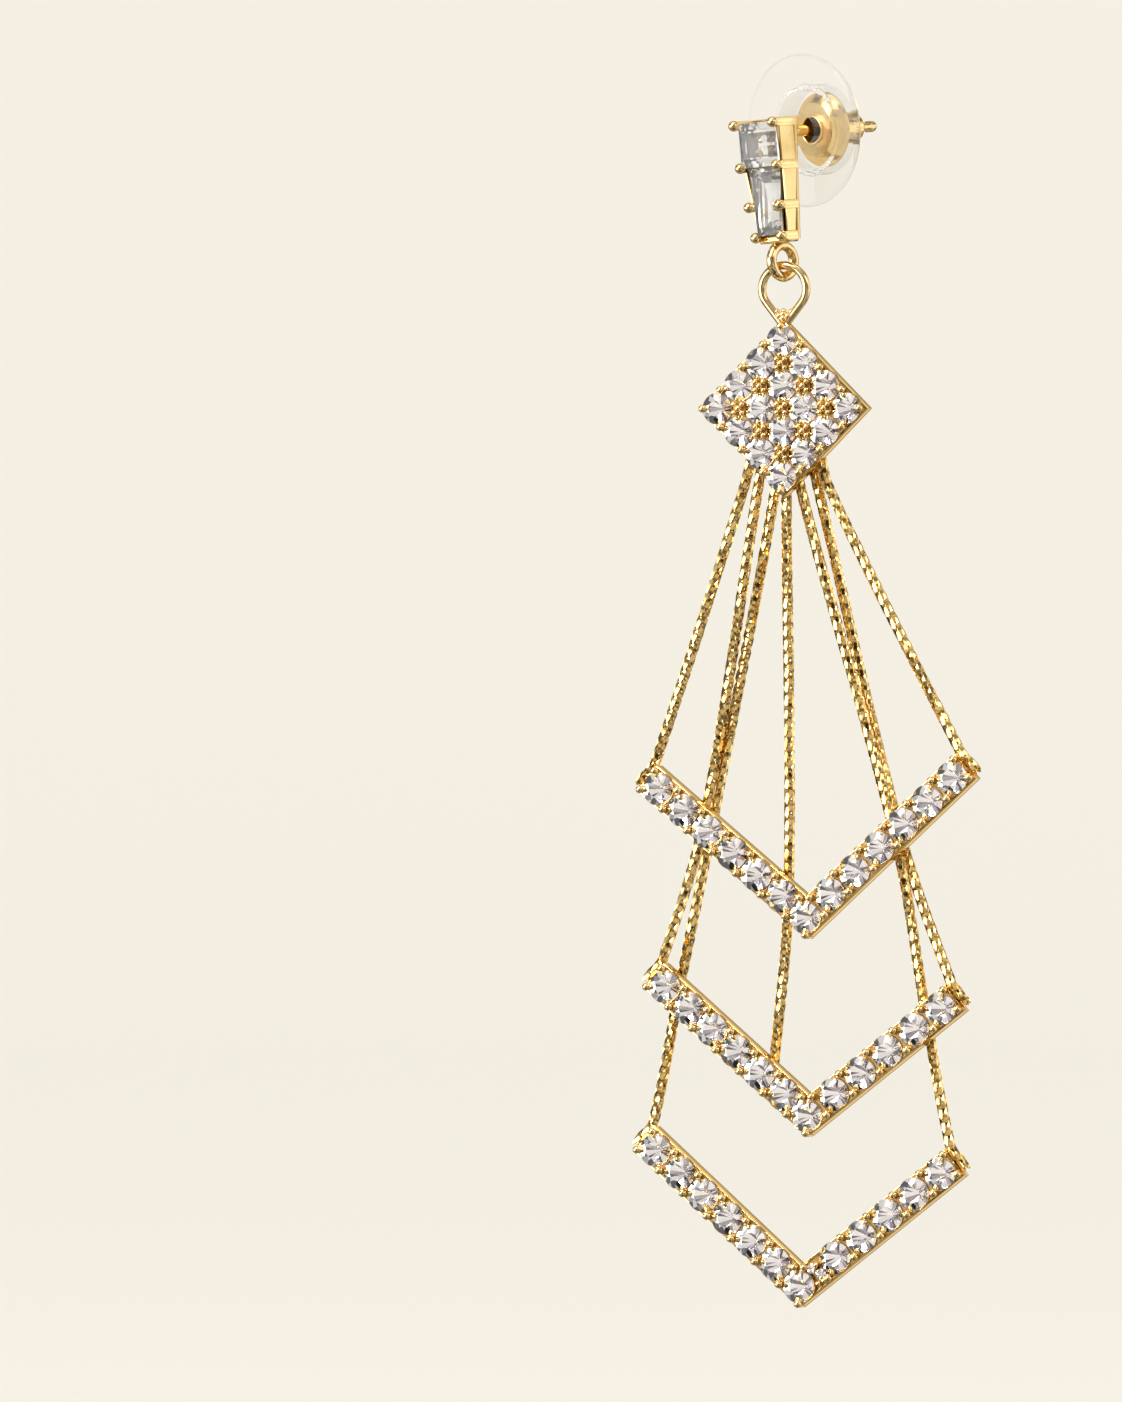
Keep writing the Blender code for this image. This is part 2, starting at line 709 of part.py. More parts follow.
def main():
    clear_scene()
    parts = new_collection("chandelier earring")
    cutters = new_collection("cutters")
    gold = new_material("polished gold", (0.83, 0.55, 0.2), 1.0, 0.16)
    satin_gold = new_material("satin gold", (0.8, 0.55, 0.22), 1.0, 0.34)
    glass = new_material("clear stone", (0.95, 0.95, 0.96), 0.0, 0.03, 1.0)
    plastic = new_material("clear plastic", (0.97, 0.97, 0.96), 0.0, 0.12, 1.0)

    stud_frame = bpy.data.objects.new("stud frame", None)
    stud_frame.rotation_euler = stud_turn().to_euler()
    drop_frame = bpy.data.objects.new("drop frame", None)
    drop_frame.location = hang_point()
    drop_frame.rotation_euler = (0.0, 0.0, math.radians(DROP_TURN_DEG))
    for frame in (stud_frame, drop_frame):
        parts.objects.link(frame)

    make_stud(parts, cutters, stud_frame, gold, glass)
    make_clutch(parts, stud_frame, satin_gold, plastic)
    make_square(parts, cutters, drop_frame, gold)
    bars = {row[0]: VBar(row) for row in BARS}
    for bar in bars.values():
        make_bar(bar, parts, cutters, drop_frame, gold)
    for row in CHAINS:
        make_chain(row, bars, parts, drop_frame, gold)


main()
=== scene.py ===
"""Looks of a chandelier earring: a stud with two cut stones over a stone-set square, fine chains and V bars.

Shapes are worked out in millimetres, the stud on its own axes and the drop on its own: x to the viewer's
right, y away from the viewer and z up. Each piece is then put in place in metres.
"""

import math

import bpy
import numpy as np
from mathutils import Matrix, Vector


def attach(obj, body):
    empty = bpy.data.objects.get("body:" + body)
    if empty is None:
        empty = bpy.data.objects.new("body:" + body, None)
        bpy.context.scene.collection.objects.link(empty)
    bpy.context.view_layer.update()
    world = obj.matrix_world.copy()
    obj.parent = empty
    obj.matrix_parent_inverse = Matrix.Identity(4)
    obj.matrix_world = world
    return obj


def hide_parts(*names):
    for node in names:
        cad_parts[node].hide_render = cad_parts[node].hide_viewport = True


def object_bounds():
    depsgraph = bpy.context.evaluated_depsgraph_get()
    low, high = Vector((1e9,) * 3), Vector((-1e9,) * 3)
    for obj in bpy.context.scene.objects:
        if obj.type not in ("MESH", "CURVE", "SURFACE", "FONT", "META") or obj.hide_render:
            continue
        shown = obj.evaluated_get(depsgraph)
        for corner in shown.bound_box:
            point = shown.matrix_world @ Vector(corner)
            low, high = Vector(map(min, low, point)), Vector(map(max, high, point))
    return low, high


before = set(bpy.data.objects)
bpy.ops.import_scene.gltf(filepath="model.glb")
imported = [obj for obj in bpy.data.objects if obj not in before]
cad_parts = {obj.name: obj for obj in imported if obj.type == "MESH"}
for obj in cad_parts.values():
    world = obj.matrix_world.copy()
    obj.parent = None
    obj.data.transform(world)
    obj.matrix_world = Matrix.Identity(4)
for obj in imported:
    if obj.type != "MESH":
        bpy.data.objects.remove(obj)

cad_box = [list(corner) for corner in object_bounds()]

# Stud setting
# A cast and gold-plated basket for two stones: a back plate, four pairs of flat bars that bend over the
# stones as prongs with round beads, a foot, a fixed ring under it, and the soldered ear post.
MM = 0.001
LEFT, RIGHT = -1, 1
STUD_DROOP_DEG, STUD_LEAN_DEG = 3.5, -3.5
LOBE_GAP = 2.45
HEAD_BACK = -LOBE_GAP / 2
HEAD_RISE, HEAD_HEIGHT, HEAD_WIDTH, HEAD_DEPTH = 0.66, 8.1, 4.05, 2.5
PRONG_LEVELS = np.array([
    # fall, width and depth of each pair of prongs, as shares of the head's
    (0.0, 1.0, 1.0),
    (0.377, 0.94, 0.93),
    (0.728, 0.8, 0.83),
    (1.0, 0.68, 0.76),
])
BACK_THICKNESS, BACK_BEVEL, BACK_ROUNDING = 0.5, 0.05, 0.42
BAR_TALL, BAR_THICK, BAR_CORNER = 0.66, 0.4, 0.07
PRONG_WIRE, PRONG_WIRE_CORNER, PRONG_BEAD, PRONG_ROOT = 0.6, 0.29, 0.39, 0.42
PRONG_BEND = np.array([
    # distance behind the head's front, shift inwards over the stone, and how far the flat bar is round wire
    (0.8, 0.0, 0.0),
    (0.5, 0.0, 0.0),
    (0.3, 0.0, 0.15),
    (0.16, 0.03, 0.4),
    (0.0, 0.1, 0.8),
    (-0.1, 0.18, 1.0),
])
WALL_SET_IN, WALL_THICK, WALL_FRONT = 0.14, 0.14, 0.56
FOOT_THICKNESS, FOOT_DROP, FOOT_SETBACK, FOOT_CORNER = 0.5, 0.31, 0.15, 0.12
POST_RADIUS, POST_LENGTH, POST_ROUNDING = 0.4, 9.9, 0.2
POST_FOOT = [
    # radius and distance behind the head's back
    (1.0, -0.1), (0.98, 0.02), (0.62, 0.1), (POST_RADIUS, 0.3),
]
POST_NOTCH = [
    # depth and distance from the post's end
    (0.0, 1.35), (0.06, 1.2), (0.06, 0.95), (0.0, 0.8),
]
RING_DIAMETER, RING_WIRE, RING_SETBACK = 3.0, 0.74, 0.65
BALL_POLE_DEG = 8.0
SMOOTH_DEG = 38.0
PLATING_TINT, DULL_SHARES = (1.0, 0.82, 0.5, 1.0), (0.86, 0.8342, 0.774)
# noise of the plating's colour and of its gloss: scale, detail and the ends of its range
TINT_NOISE, TINT_ENDS = (420.0, 4.0), (0.32, 0.6)
GLOSS_NOISE, GLOSS_ENDS, GLOSS_SHARES = (1300.0, 3.0), (0.3, 0.7), np.array([0.7, 1.35])
BUMP_DEPTH = 0.02 * MM


def turn_about(axis, degrees):
    """The matrix of a right-hand turn about one of the three axes."""
    c, s = math.cos(math.radians(degrees)), math.sin(math.radians(degrees))
    i, j = [(1, 2), (2, 0), (0, 1)][axis]
    turned_axes = np.eye(3)
    turned_axes[i, i] = turned_axes[j, j] = c
    turned_axes[j, i], turned_axes[i, j] = s, -s
    return turned_axes


def skin(rings, closed=False):
    """A surface over rings of points, rows by columns by 3. Each point is joined to the next in its ring
    and to the same one in the next ring. The end rings are filled, unless the last ring is joined to the
    first."""
    rows, columns = rings.shape[:2]
    row = np.arange(rows if closed else rows - 1)[:, None] * columns
    following = (row + columns) % (rows * columns)
    column = np.arange(columns)
    beside = (column + 1) % columns
    quads = np.stack([row + column, row + beside, following + beside, following + column], -1).reshape(-1, 4)
    caps = [] if closed else [column[::-1], column + (rows - 1) * columns]
    return rings.reshape(-1, 3), quads, caps


def joined(*shapes):
    """Several shapes as one, their point numbers moved on by the points before them."""
    starts = np.cumsum([0] + [len(points) for points, _, _ in shapes])
    return (
        np.vstack([points for points, _, _ in shapes]),
        np.vstack([quads + start for (_, quads, _), start in zip(shapes, starts)]),
        [cap + start for (_, _, caps), start in zip(shapes, starts) for cap in caps],
    )


def copies(shape, places, turns=None, sizes=1.0):
    """A shape repeated: each copy's points are multiplied by its size, turned by its matrix and moved to
    its place."""
    points, quads, caps = shape
    places = np.atleast_2d(places)
    count = len(places)
    turns = np.broadcast_to(np.eye(3) if turns is None else turns, (count, 3, 3))
    sizes = np.broadcast_to(sizes, (count,))[:, None, None]
    moved = np.einsum("kij,nj->kni", turns, points) * sizes + places[:, None, :]
    starts = np.arange(count) * len(points)
    return (
        moved.reshape(-1, 3),
        (quads[None] + starts[:, None, None]).reshape(-1, 4),
        [cap + start for start in starts for cap in caps],
    )


def arc(middle, radius, start_deg, end_deg, steps):
    """Points of a circle in two coordinates: the middle plus the radius times the angle's cosine and sine."""
    angle = np.radians(np.linspace(start_deg, end_deg, steps))
    return np.stack([middle[0] + radius * np.cos(angle), middle[1] + radius * np.sin(angle)], -1)


def round_section(radius, sides):
    """A circle's points, anticlockwise."""
    return arc((0.0, 0.0), radius, 0.0, 360.0, sides + 1)[:-1]


def flat_section(width, height, corner, steps=3):
    """A rectangle with quarter circles at its corners, anticlockwise."""
    x, y = width / 2 - corner, height / 2 - corner
    quarters = [((x, y), 0.0), ((-x, y), 90.0), ((-x, -y), 180.0), ((x, -y), 270.0)]
    return np.vstack([arc(middle, corner, start, start + 90.0, steps) for middle, start in quarters])


def turned(profile, sides, closed=False):
    """A profile of (radius, depth) turned about the y axis: x is the radius times the sine and z times the
    cosine."""
    profile = np.asarray(profile, float)
    angle = np.arange(sides) * 2 * np.pi / sides
    radius, depth = profile[:, :1], profile[:, 1:]
    rings = np.stack([radius * np.sin(angle), depth + 0 * angle, radius * np.cos(angle)], -1)
    return skin(rings, closed)


def ball(radius, sides=14, rows=9):
    """A sphere as rings between small caps at its poles, on the y axis."""
    angle = np.radians(np.linspace(BALL_POLE_DEG, 180.0 - BALL_POLE_DEG, rows))
    return turned(radius * np.stack([np.sin(angle), -np.cos(angle)], -1), sides)


def swept(path, section, side, closed=False):
    """A section carried along a path: each ring is the path's point, plus the section's x times the side
    vector, plus its y times the path's direction crossed with the side vector."""
    path = np.asarray(path, float)
    if closed:
        along = np.roll(path, -1, 0) - np.roll(path, 1, 0)
    else:
        along = np.gradient(path, axis=0)
    along /= np.linalg.norm(along, axis=1, keepdims=True)
    side = np.broadcast_to(np.asarray(side, float), path.shape)
    across = np.cross(along, side)
    section = np.broadcast_to(section, (len(path), *np.shape(section)[-2:]))
    return skin(path[:, None] + section[..., :1] * side[:, None] + section[..., 1:] * across[:, None], closed)


def framed(corners, section, depth):
    """A flat closed frame with mitred corners, anticlockwise in x and z: the section's x points out of the
    frame and its y away from the viewer."""
    corners = np.asarray(corners, float)
    along = np.roll(corners, -1, 0) - corners
    along /= np.linalg.norm(along, axis=1, keepdims=True)
    out = np.stack([along[:, 1], -along[:, 0]], -1)
    before = np.roll(out, 1, 0)
    mitre = (out + before) / (1 + np.sum(out * before, 1, keepdims=True))
    x = corners[:, None, 0] + section[:, 0] * mitre[:, :1]
    z = corners[:, None, 1] + section[:, 0] * mitre[:, 1:]
    y = depth + section[:, 1] + 0 * x
    return skin(np.stack([x, y, z], -1), closed=True)


def plate(outlines, depths):
    """A slab with flat faces: outlines of the same corners, anticlockwise in x and z, at depths from front
    to back."""
    rings = [
        np.stack([outline[:, 0], np.full(len(outline), depth), outline[:, 1]], -1)[::-1]
        for outline, depth in zip(outlines, depths)
    ]
    return skin(np.stack(rings))


def bevelled(outline_at, front, back, bevel):
    """A plate drawn in by the bevel at both faces. outline_at gives its outline for an inset."""
    edge, face = outline_at(0.0), outline_at(bevel)
    return plate([face, edge, edge, face], [front, front + bevel, back - bevel, back])


def set_inputs(node, **values):
    """Fix some inputs of a node, named as in Blender with _ for a blank."""
    for name, value in values.items():
        node.inputs[name.replace("_", " ")].default_value = value


def new_material(name, **values):
    """A material, its nodes and links, and its shader with some of its inputs fixed."""
    made = bpy.data.materials.new(name)
    made.use_nodes = True
    nodes = made.node_tree.nodes
    set_inputs(nodes["Principled BSDF"], **values)
    return made, nodes, made.node_tree.links, nodes["Principled BSDF"]


def fine_noise(nodes, links, scale, detail=2.0, coordinates="Object"):
    """Noise in the object's own coordinates, or in others."""
    noise = nodes.new("ShaderNodeTexNoise")
    set_inputs(noise, Scale=scale, Detail=detail)
    links.new(nodes.new("ShaderNodeTexCoord").outputs[coordinates], noise.inputs["Vector"])
    return noise.outputs["Fac"]


def ranged(nodes, links, value, value_ends, result_ends, way="LINEAR"):
    """A value carried over from one range to another, and held at its ends."""
    made = nodes.new("ShaderNodeMapRange")
    made.interpolation_type = way
    (start, end), (low, high) = value_ends, result_ends
    set_inputs(made, From_Min=start, From_Max=end, To_Min=low, To_Max=high)
    links.new(value, made.inputs["Value"])
    return made.outputs["Result"]


def tint(nodes, links, value, shader, low, high, ends=(0.0, 1.0)):
    """The shader's colour: low up to the value's first end, high from its second, blended between them."""
    ramp = nodes.new("ShaderNodeValToRGB")
    for stop, colour, position in zip(ramp.color_ramp.elements, (low, high), ends):
        stop.color = (*colour, 1.0)
        stop.position = position
    links.new(value, ramp.inputs["Fac"])
    links.new(ramp.outputs["Color"], shader.inputs["Base Color"])


def plated_metal(name, colour, roughness, grain, relief):
    """Gold plating: its roughness and colour wander with noise, and fine bump gives it a cast skin."""
    made, nodes, links, shader = new_material(name, Metallic=1.0, Specular_Tint=PLATING_TINT)
    dull = [channel * share for channel, share in zip(colour, DULL_SHARES)]
    tint(nodes, links, fine_noise(nodes, links, *TINT_NOISE), shader, dull, colour, TINT_ENDS)
    gloss = ranged(nodes, links, fine_noise(nodes, links, *GLOSS_NOISE), GLOSS_ENDS, roughness * GLOSS_SHARES)
    links.new(gloss, shader.inputs["Roughness"])
    bump = nodes.new("ShaderNodeBump")
    set_inputs(bump, Strength=relief, Distance=BUMP_DEPTH)
    links.new(fine_noise(nodes, links, grain), bump.inputs["Height"])
    links.new(bump.outputs["Normal"], shader.inputs["Normal"])
    return made


def added(name, data):
    """An object with a mesh, a lamp or a camera, in the scene."""
    made = bpy.data.objects.new(name, data)
    bpy.context.scene.collection.objects.link(made)
    return made


def placed_mesh(name, points, faces, home, materials, kinds):
    """An object whose place is in its mesh: points in millimetres, turned by home's axes, made metres and
    moved to home's origin. kinds is the number of the material of each face."""
    axes, origin = home
    mesh = bpy.data.meshes.new(name)
    mesh.from_pydata((points @ axes.T * MM + origin).tolist(), [], faces)
    for material in materials:
        mesh.materials.append(material)
    mesh.polygons.foreach_set("material_index", np.broadcast_to(kinds, (len(faces),)).astype(np.int32))
    return added(name, mesh)


def add_piece(name, shape, home, body, materials, node, kinds=0, smooth=True):
    """One object from a shape, which rides on a body and replaces a node of the solids."""
    points, quads, caps = shape
    faces = quads.tolist() + [cap.tolist() for cap in caps]
    piece = placed_mesh(name, points, faces, home, materials, kinds)
    if smooth:
        piece.data.shade_smooth()
        piece.data.set_sharp_from_angle(angle=math.radians(SMOOTH_DEG))
    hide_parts(node)
    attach(piece, body)
    return piece


def face_kinds(*numbered):
    """The material number of each face of joined shapes, given each shape with its number: all quads, then
    all caps."""
    quads = [np.full(len(shape[1]), number) for shape, number in numbered]
    caps = [np.full(len(shape[2]), number) for shape, number in numbered]
    return np.concatenate(quads + caps)


def level_at(index):
    """Height, half width and front of the head at one pair of prongs."""
    fall, width, depth = PRONG_LEVELS[index]
    return HEAD_RISE - fall * HEAD_HEIGHT, width * HEAD_WIDTH / 2, HEAD_BACK - depth * HEAD_DEPTH


def trapezium(top, height, top_width, bottom_width, inset=0.0):
    """An upright outline about x = 0 that narrows downwards, anticlockwise in x and z."""
    a, b = top_width / 2 - inset, bottom_width / 2 - inset
    top, bottom = top - inset, top - height + inset
    return np.array([(-a, top), (-b, bottom), (b, bottom), (a, top)])


def head_outline(inset=0.0):
    """The outline of the head's back, round its prong bars."""
    (top, top_half, _), (foot, foot_half, _) = level_at(0), level_at(-1)
    return trapezium(
        top + BAR_TALL / 2, top - foot + BAR_TALL, 2 * top_half + BAR_THICK, 2 * foot_half + BAR_THICK, inset
    )


def head_back():
    """The back plate, drawn in by a bevel at the front and by a quarter circle at the back."""
    turn = np.radians(np.linspace(0.0, 90.0, 6))
    insets = [BACK_BEVEL, 0.0, *(BACK_ROUNDING * (1 - np.cos(turn)))]
    front = HEAD_BACK - BACK_THICKNESS
    depths = [front, front + BACK_BEVEL, *(HEAD_BACK - BACK_ROUNDING * (1 - np.sin(turn)))]
    return plate([head_outline(inset) for inset in insets], depths)


def side_wall(side):
    """The thin wall behind the prong bars of one side, whose outer face is set in a little from theirs."""
    levels = [level_at(index) for index in range(len(PRONG_LEVELS))]
    rings = []
    for height, half_width, front in levels:
        outer = side * (half_width + BAR_THICK / 2 - WALL_SET_IN)
        inner = outer - side * WALL_THICK
        back = HEAD_BACK - BACK_THICKNESS + BACK_BEVEL
        corners = [(inner, front + WALL_FRONT), (outer, front + WALL_FRONT), (outer, back), (inner, back)]
        rings.append([(x, y, height) for x, y in corners[::-side]])
    return skin(np.array(rings)[::-1])


def prong(index, side):
    """A bar from the back that bends in over the stone, while its section goes from flat to round."""
    height, half_width, front = level_at(index)
    behind, inwards, share = np.vstack([(HEAD_BACK - PRONG_ROOT - front, 0.0, 0.0), PRONG_BEND]).T
    path = np.stack([side * (half_width - inwards), front + behind, np.full(len(behind), height)], -1)
    share = share[:, None, None]
    flat = flat_section(BAR_TALL, BAR_THICK, BAR_CORNER)
    wire = flat_section(PRONG_WIRE, PRONG_WIRE, PRONG_WIRE_CORNER)
    bar = swept(path, flat * (1 - share) + wire * share, (0.0, 0.0, 1.0))
    bead_place = (side * (half_width - BAR_THICK / 4), front, height)
    return joined(bar, copies(ball(PRONG_BEAD, sides=18, rows=11), bead_place))


def block(low, high, corner):
    """A box with rounded long edges, along x, drawn in at its ends."""
    low, high = np.array(low), np.array(high)
    middle, size = (low + high) / 2, high - low
    section = flat_section(size[1], size[2], corner)
    inner = section * (1 - 2 * corner / np.array([size[1], size[2]]))
    path = np.array([low[0], low[0] + corner, high[0] - corner, high[0]])
    rings = np.stack([inner, section, section, inner])
    x = np.broadcast_to(path[:, None], rings.shape[:2])
    return skin(np.stack([x, rings[..., 0] + middle[1], rings[..., 1] + middle[2]], -1))


def foot_box():
    """Lowest and highest corner of the foot that closes the head and carries the ring."""
    height, half_width, front = level_at(-1)
    low = height - FOOT_DROP - FOOT_THICKNESS / 3
    front, back = front + PRONG_BEAD, HEAD_BACK - FOOT_SETBACK
    return (-half_width, front, low), (half_width, back, low + FOOT_THICKNESS)


stud_axes = turn_about(1, STUD_LEAN_DEG) @ turn_about(0, STUD_DROOP_DEG)
stud_home = (stud_axes, np.zeros(3))
ring_radius = (RING_DIAMETER - RING_WIRE) / 2
ring_middle = np.array([0.0, HEAD_BACK - RING_SETBACK, foot_box()[0][2] - ring_radius - RING_WIRE / 4])
ring_circle = round_section(ring_radius, 48)
ring_path = ring_middle + np.stack([0 * ring_circle[:, 0], ring_circle[:, 0], ring_circle[:, 1]], -1)
post_end = HEAD_BACK + POST_LENGTH
post_profile = np.vstack([
    [(radius, HEAD_BACK + behind) for radius, behind in POST_FOOT],
    [(POST_RADIUS - depth, post_end - before) for depth, before in POST_NOTCH],
    arc((POST_RADIUS - POST_ROUNDING, post_end - POST_ROUNDING), POST_ROUNDING, 0.0, 90.0, 5),
])
stud_metal = joined(
    head_back(),
    *[side_wall(side) for side in (LEFT, RIGHT)],
    *[prong(index, side) for index in range(len(PRONG_LEVELS)) for side in (LEFT, RIGHT)],
    block(*foot_box(), FOOT_CORNER),
    swept(ring_path, round_section(RING_WIRE / 2, 16), (1.0, 0.0, 0.0), closed=True),
    turned(post_profile, 32),
)
polished_gold = plated_metal("polished_gold", (0.99, 0.745, 0.36), 0.12, 5200.0, 0.1)
add_piece("stud_metal", stud_metal, stud_home, "stud", [polished_gold], "stud_setting")

# Head stones
# Two clear stones cut in steps, a square one above a long tapered one. Each has a table, two steps in front
# of the girdle and two behind it, down to a small keel. Silver foil backs them, with painted reflections in
# its facets, and the prongs hold them.
STONE_GAP, STONE_RISE = 0.06, 0.1
GIRDLE = 0.18
HEAD_STONES = {
    # height, upper width, lower width, and the pair of prongs that it lies level with
    "square": (3.2, 3.72, 3.72, 0),
    "baguette": (4.85, 3.16, 2.36, 2),
}
CROWN_INSET = 0.35
HEAD_STONE_SIDES = 4
HEAD_FACET_LIGHT = np.array([
    # painted light of the right, lower, left and upper face, which the foil shows as painted reflections: the
    # crown's two steps, the girdle, two steps behind it
    (1.0, 1.0, 1.0, 1.0),
    (1.0, 1.0, 1.0, 1.0),
    (0.7, 0.9, 1.0, 0.8),
    (0.9, 0.8, 0.75, 1.0),
    (0.25, 1.0, 0.9, 0.7),
])
KEEL_LIGHT = 0.75
VEIL_SCALE, VEIL_SHARE = 600.0, 0.94
FOIL_ROUGHNESS, FOIL_NOISE_SCALE, FOIL_NOISE, FOIL_ENDS = 0.03, 1500.0, 0.4, (0.2, 1.0)
CROWN_STEPS = np.array([(0.0, 0.0), (0.26, 0.2), (0.6, 0.36)])
PAVILION_STEPS = np.array([(0.0, 0.0), (0.45, 0.46), (0.93, 0.8)])


def step_cut(outline_at, half_width, front):
    """A slab at the girdle, stepped in to a table in front and to a keel behind. Each step has its inset
    and rise, which behind the girdle are shares of the stone's least half width."""
    behind = PAVILION_STEPS * half_width
    insets = np.concatenate([CROWN_STEPS[::-1, 0], behind[:, 0]])
    depths = np.concatenate([front - CROWN_STEPS[::-1, 1], front + GIRDLE + behind[:, 1]])
    return plate([outline_at(inset) for inset in insets], depths)


def behind_girdle(stone):
    """For each face of a step-cut stone, in the order they are made: 1 from the girdle back, 0 in front."""
    step = np.arange(len(stone[1])) // HEAD_STONE_SIDES
    return np.concatenate([step >= len(CROWN_STEPS) - 1, [False, True]])


def paint_facet_light(piece, tones):
    """Keep one painted tone for each face of a piece, which its foil reads as a painted reflection."""
    kept = piece.data.attributes.new("facet_painted_light", "FLOAT", "FACE")
    kept.data.foreach_set("value", np.asarray(tones, np.float32))


def clear_stone(name, colour, refraction, surface):
    """Clear crystal, tinted a little in cloudy veils by noise. surface is how strongly its faces reflect."""
    made, nodes, links, shader = new_material(
        name, Roughness=0.0, IOR=refraction, Specular_IOR_Level=surface, Transmission_Weight=1.0
    )
    veiled = [channel * VEIL_SHARE for channel in colour]
    tint(nodes, links, fine_noise(nodes, links, VEIL_SCALE), shader, veiled, colour)
    return made


def mirror_foil(name, dull, bright, mirror):
    """Silver foil behind a stone. mirror is its share of metal, the rest is white. Each facet has its own
    painted tone between a dull and a bright colour: a painted reflection, standing in for the way some
    facets of a cut stone send light back and some don't. The tone is the facet's own plus a share of noise."""
    made, nodes, links, shader = new_material(name, Metallic=mirror, Roughness=FOIL_ROUGHNESS)
    facet = nodes.new("ShaderNodeAttribute")
    facet.attribute_name = "facet_painted_light"
    both = nodes.new("ShaderNodeMath")
    both.operation = "MULTIPLY_ADD"
    both.inputs[1].default_value = FOIL_NOISE
    links.new(fine_noise(nodes, links, FOIL_NOISE_SCALE), both.inputs[0])
    links.new(facet.outputs["Fac"], both.inputs[2])
    # painted reflection: the foil's colour follows each facet's painted tone
    tint(nodes, links, both.outputs["Value"], shader, dull, bright, FOIL_ENDS)
    return made


stones_height = sum(row[0] for row in HEAD_STONES.values()) + STONE_GAP
stone_top = level_at(0)[0] + STONE_RISE + (stones_height - HEAD_HEIGHT) / 2
head_crystal = clear_stone("head_crystal", (0.98, 0.98, 0.99), 1.6, 1.0)
# painted reflections: the head foil runs from grey to white, facet by facet
head_foil = mirror_foil("head_foil", (0.45, 0.45, 0.48), (1.0, 1.0, 1.0), 0.8)
for stone_name, (*stone_size, pair) in HEAD_STONES.items():
    stone_front = level_at(pair)[2] + CROWN_INSET
    stone = step_cut(lambda inset: trapezium(stone_top, *stone_size, inset), min(stone_size) / 2, stone_front)
    head_stone = add_piece(
        f"{stone_name}_crystal", stone, stud_home, "stud", [head_crystal, head_foil],
        f"{stone_name}_stone", kinds=behind_girdle(stone), smooth=False,
    )
    paint_facet_light(head_stone, [*HEAD_FACET_LIGHT.ravel(), 1.0, KEEL_LIGHT])
    stone_top -= stone_size[0] + STONE_GAP

# Clutch barrel
# A turned and gold-plated bullet clutch, pushed on the post: a satin flange face round a raised lip, a
# polished bevel, a step, and a barrel with a rounded end. The post runs through its bore.
DISC_FRONT = LOBE_GAP / 2
CLUTCH_FACE = DISC_FRONT + 1.2
FLANGE_RADIUS, FLANGE_FACE_RADIUS, FLANGE_BEVEL, FLANGE_RIM = 2.65, 2.0, 0.8, 0.2
STEP_RADIUS, STEP_LENGTH = 2.25, 0.3
MOUTH_RADIUS, LIP_WIDTH, LIP_HEIGHT, LIP_STEPS = 0.95, 0.16, 0.2, 7
EDGE, FINE_EDGE, BEVEL_EDGE_FRONT, BEVEL_EDGE_BACK = 0.06, 0.03, 0.05, 0.04
GRIP_RADIUS, GRIP_EDGE, GRIP_EDGE_DEPTH = POST_RADIUS + 0.01, 0.1, 0.2
BARREL_RADIUS, BARREL_LENGTH, BARREL_DOME, BARREL_DOME_DEG, BARREL_FILLET = 1.05, 4.4, 0.35, 75.0, 0.12
CLUTCH_SIDES = 72
SATIN, POLISHED, PAINTED_SHADE = 0, 1, 2
barrel_end = CLUTCH_FACE + BARREL_LENGTH
bevel_end = CLUTCH_FACE + FLANGE_BEVEL
rim_end = bevel_end + FLANGE_RIM
step_end = rim_end + STEP_LENGTH
lip_middle = MOUTH_RADIUS + LIP_WIDTH / 2
face_profile = np.vstack([
    arc((lip_middle, CLUTCH_FACE - LIP_HEIGHT + LIP_WIDTH / 2), LIP_WIDTH / 2, 180.0, 360.0, LIP_STEPS),
    [(MOUTH_RADIUS + LIP_WIDTH, CLUTCH_FACE), (FLANGE_FACE_RADIUS - EDGE, CLUTCH_FACE)],
])
body_profile = np.vstack([
    [(FLANGE_FACE_RADIUS, CLUTCH_FACE + FINE_EDGE)],
    [(FLANGE_RADIUS - BEVEL_EDGE_FRONT, bevel_end - BEVEL_EDGE_FRONT)],
    [(FLANGE_RADIUS, bevel_end + BEVEL_EDGE_BACK)],
    [(FLANGE_RADIUS, rim_end - EDGE), (FLANGE_RADIUS - EDGE, rim_end)],
    [(STEP_RADIUS + FINE_EDGE, rim_end), (STEP_RADIUS, rim_end + FINE_EDGE)],
    [(STEP_RADIUS, step_end - EDGE), (STEP_RADIUS - EDGE, step_end)],
    [(BARREL_RADIUS + BARREL_FILLET, step_end), (BARREL_RADIUS, step_end + BARREL_FILLET)],
    arc((BARREL_RADIUS - BARREL_DOME, barrel_end - BARREL_DOME), BARREL_DOME, 0.0, BARREL_DOME_DEG, 8),
    [(GRIP_RADIUS + GRIP_EDGE, barrel_end), (GRIP_RADIUS, barrel_end - GRIP_EDGE_DEPTH)],
    [(GRIP_RADIUS, bevel_end)],
])
clutch_shape = turned(np.vstack([face_profile, body_profile]), CLUTCH_SIDES, closed=True)
satin_gold = plated_metal("satin_gold", (0.86, 0.65, 0.33), 0.36, 9000.0, 0.35)
# painted shade: a dark brown gold for the inside of the clutch's mouth and for the chains' cores, where shade
# falls
painted_shade_gold = plated_metal("painted_shade_gold", (0.3, 0.17, 0.05), 0.4, 5200.0, 0.2)
face_row = np.arange(len(clutch_shape[1])) // CLUTCH_SIDES
clutch_kinds = np.where((face_row < LIP_STEPS) | (face_row >= len(face_profile) - 1), POLISHED, SATIN)
# painted shade: the faces inside the mouth take the dark gold
clutch_kinds[face_row == face_row[-1]] = PAINTED_SHADE  # inside the mouth, where little light comes
add_piece(
    "bullet_clutch", clutch_shape, stud_home, "stud", [satin_gold, polished_gold, painted_shade_gold],
    "clutch_barrel", kinds=clutch_kinds,
)

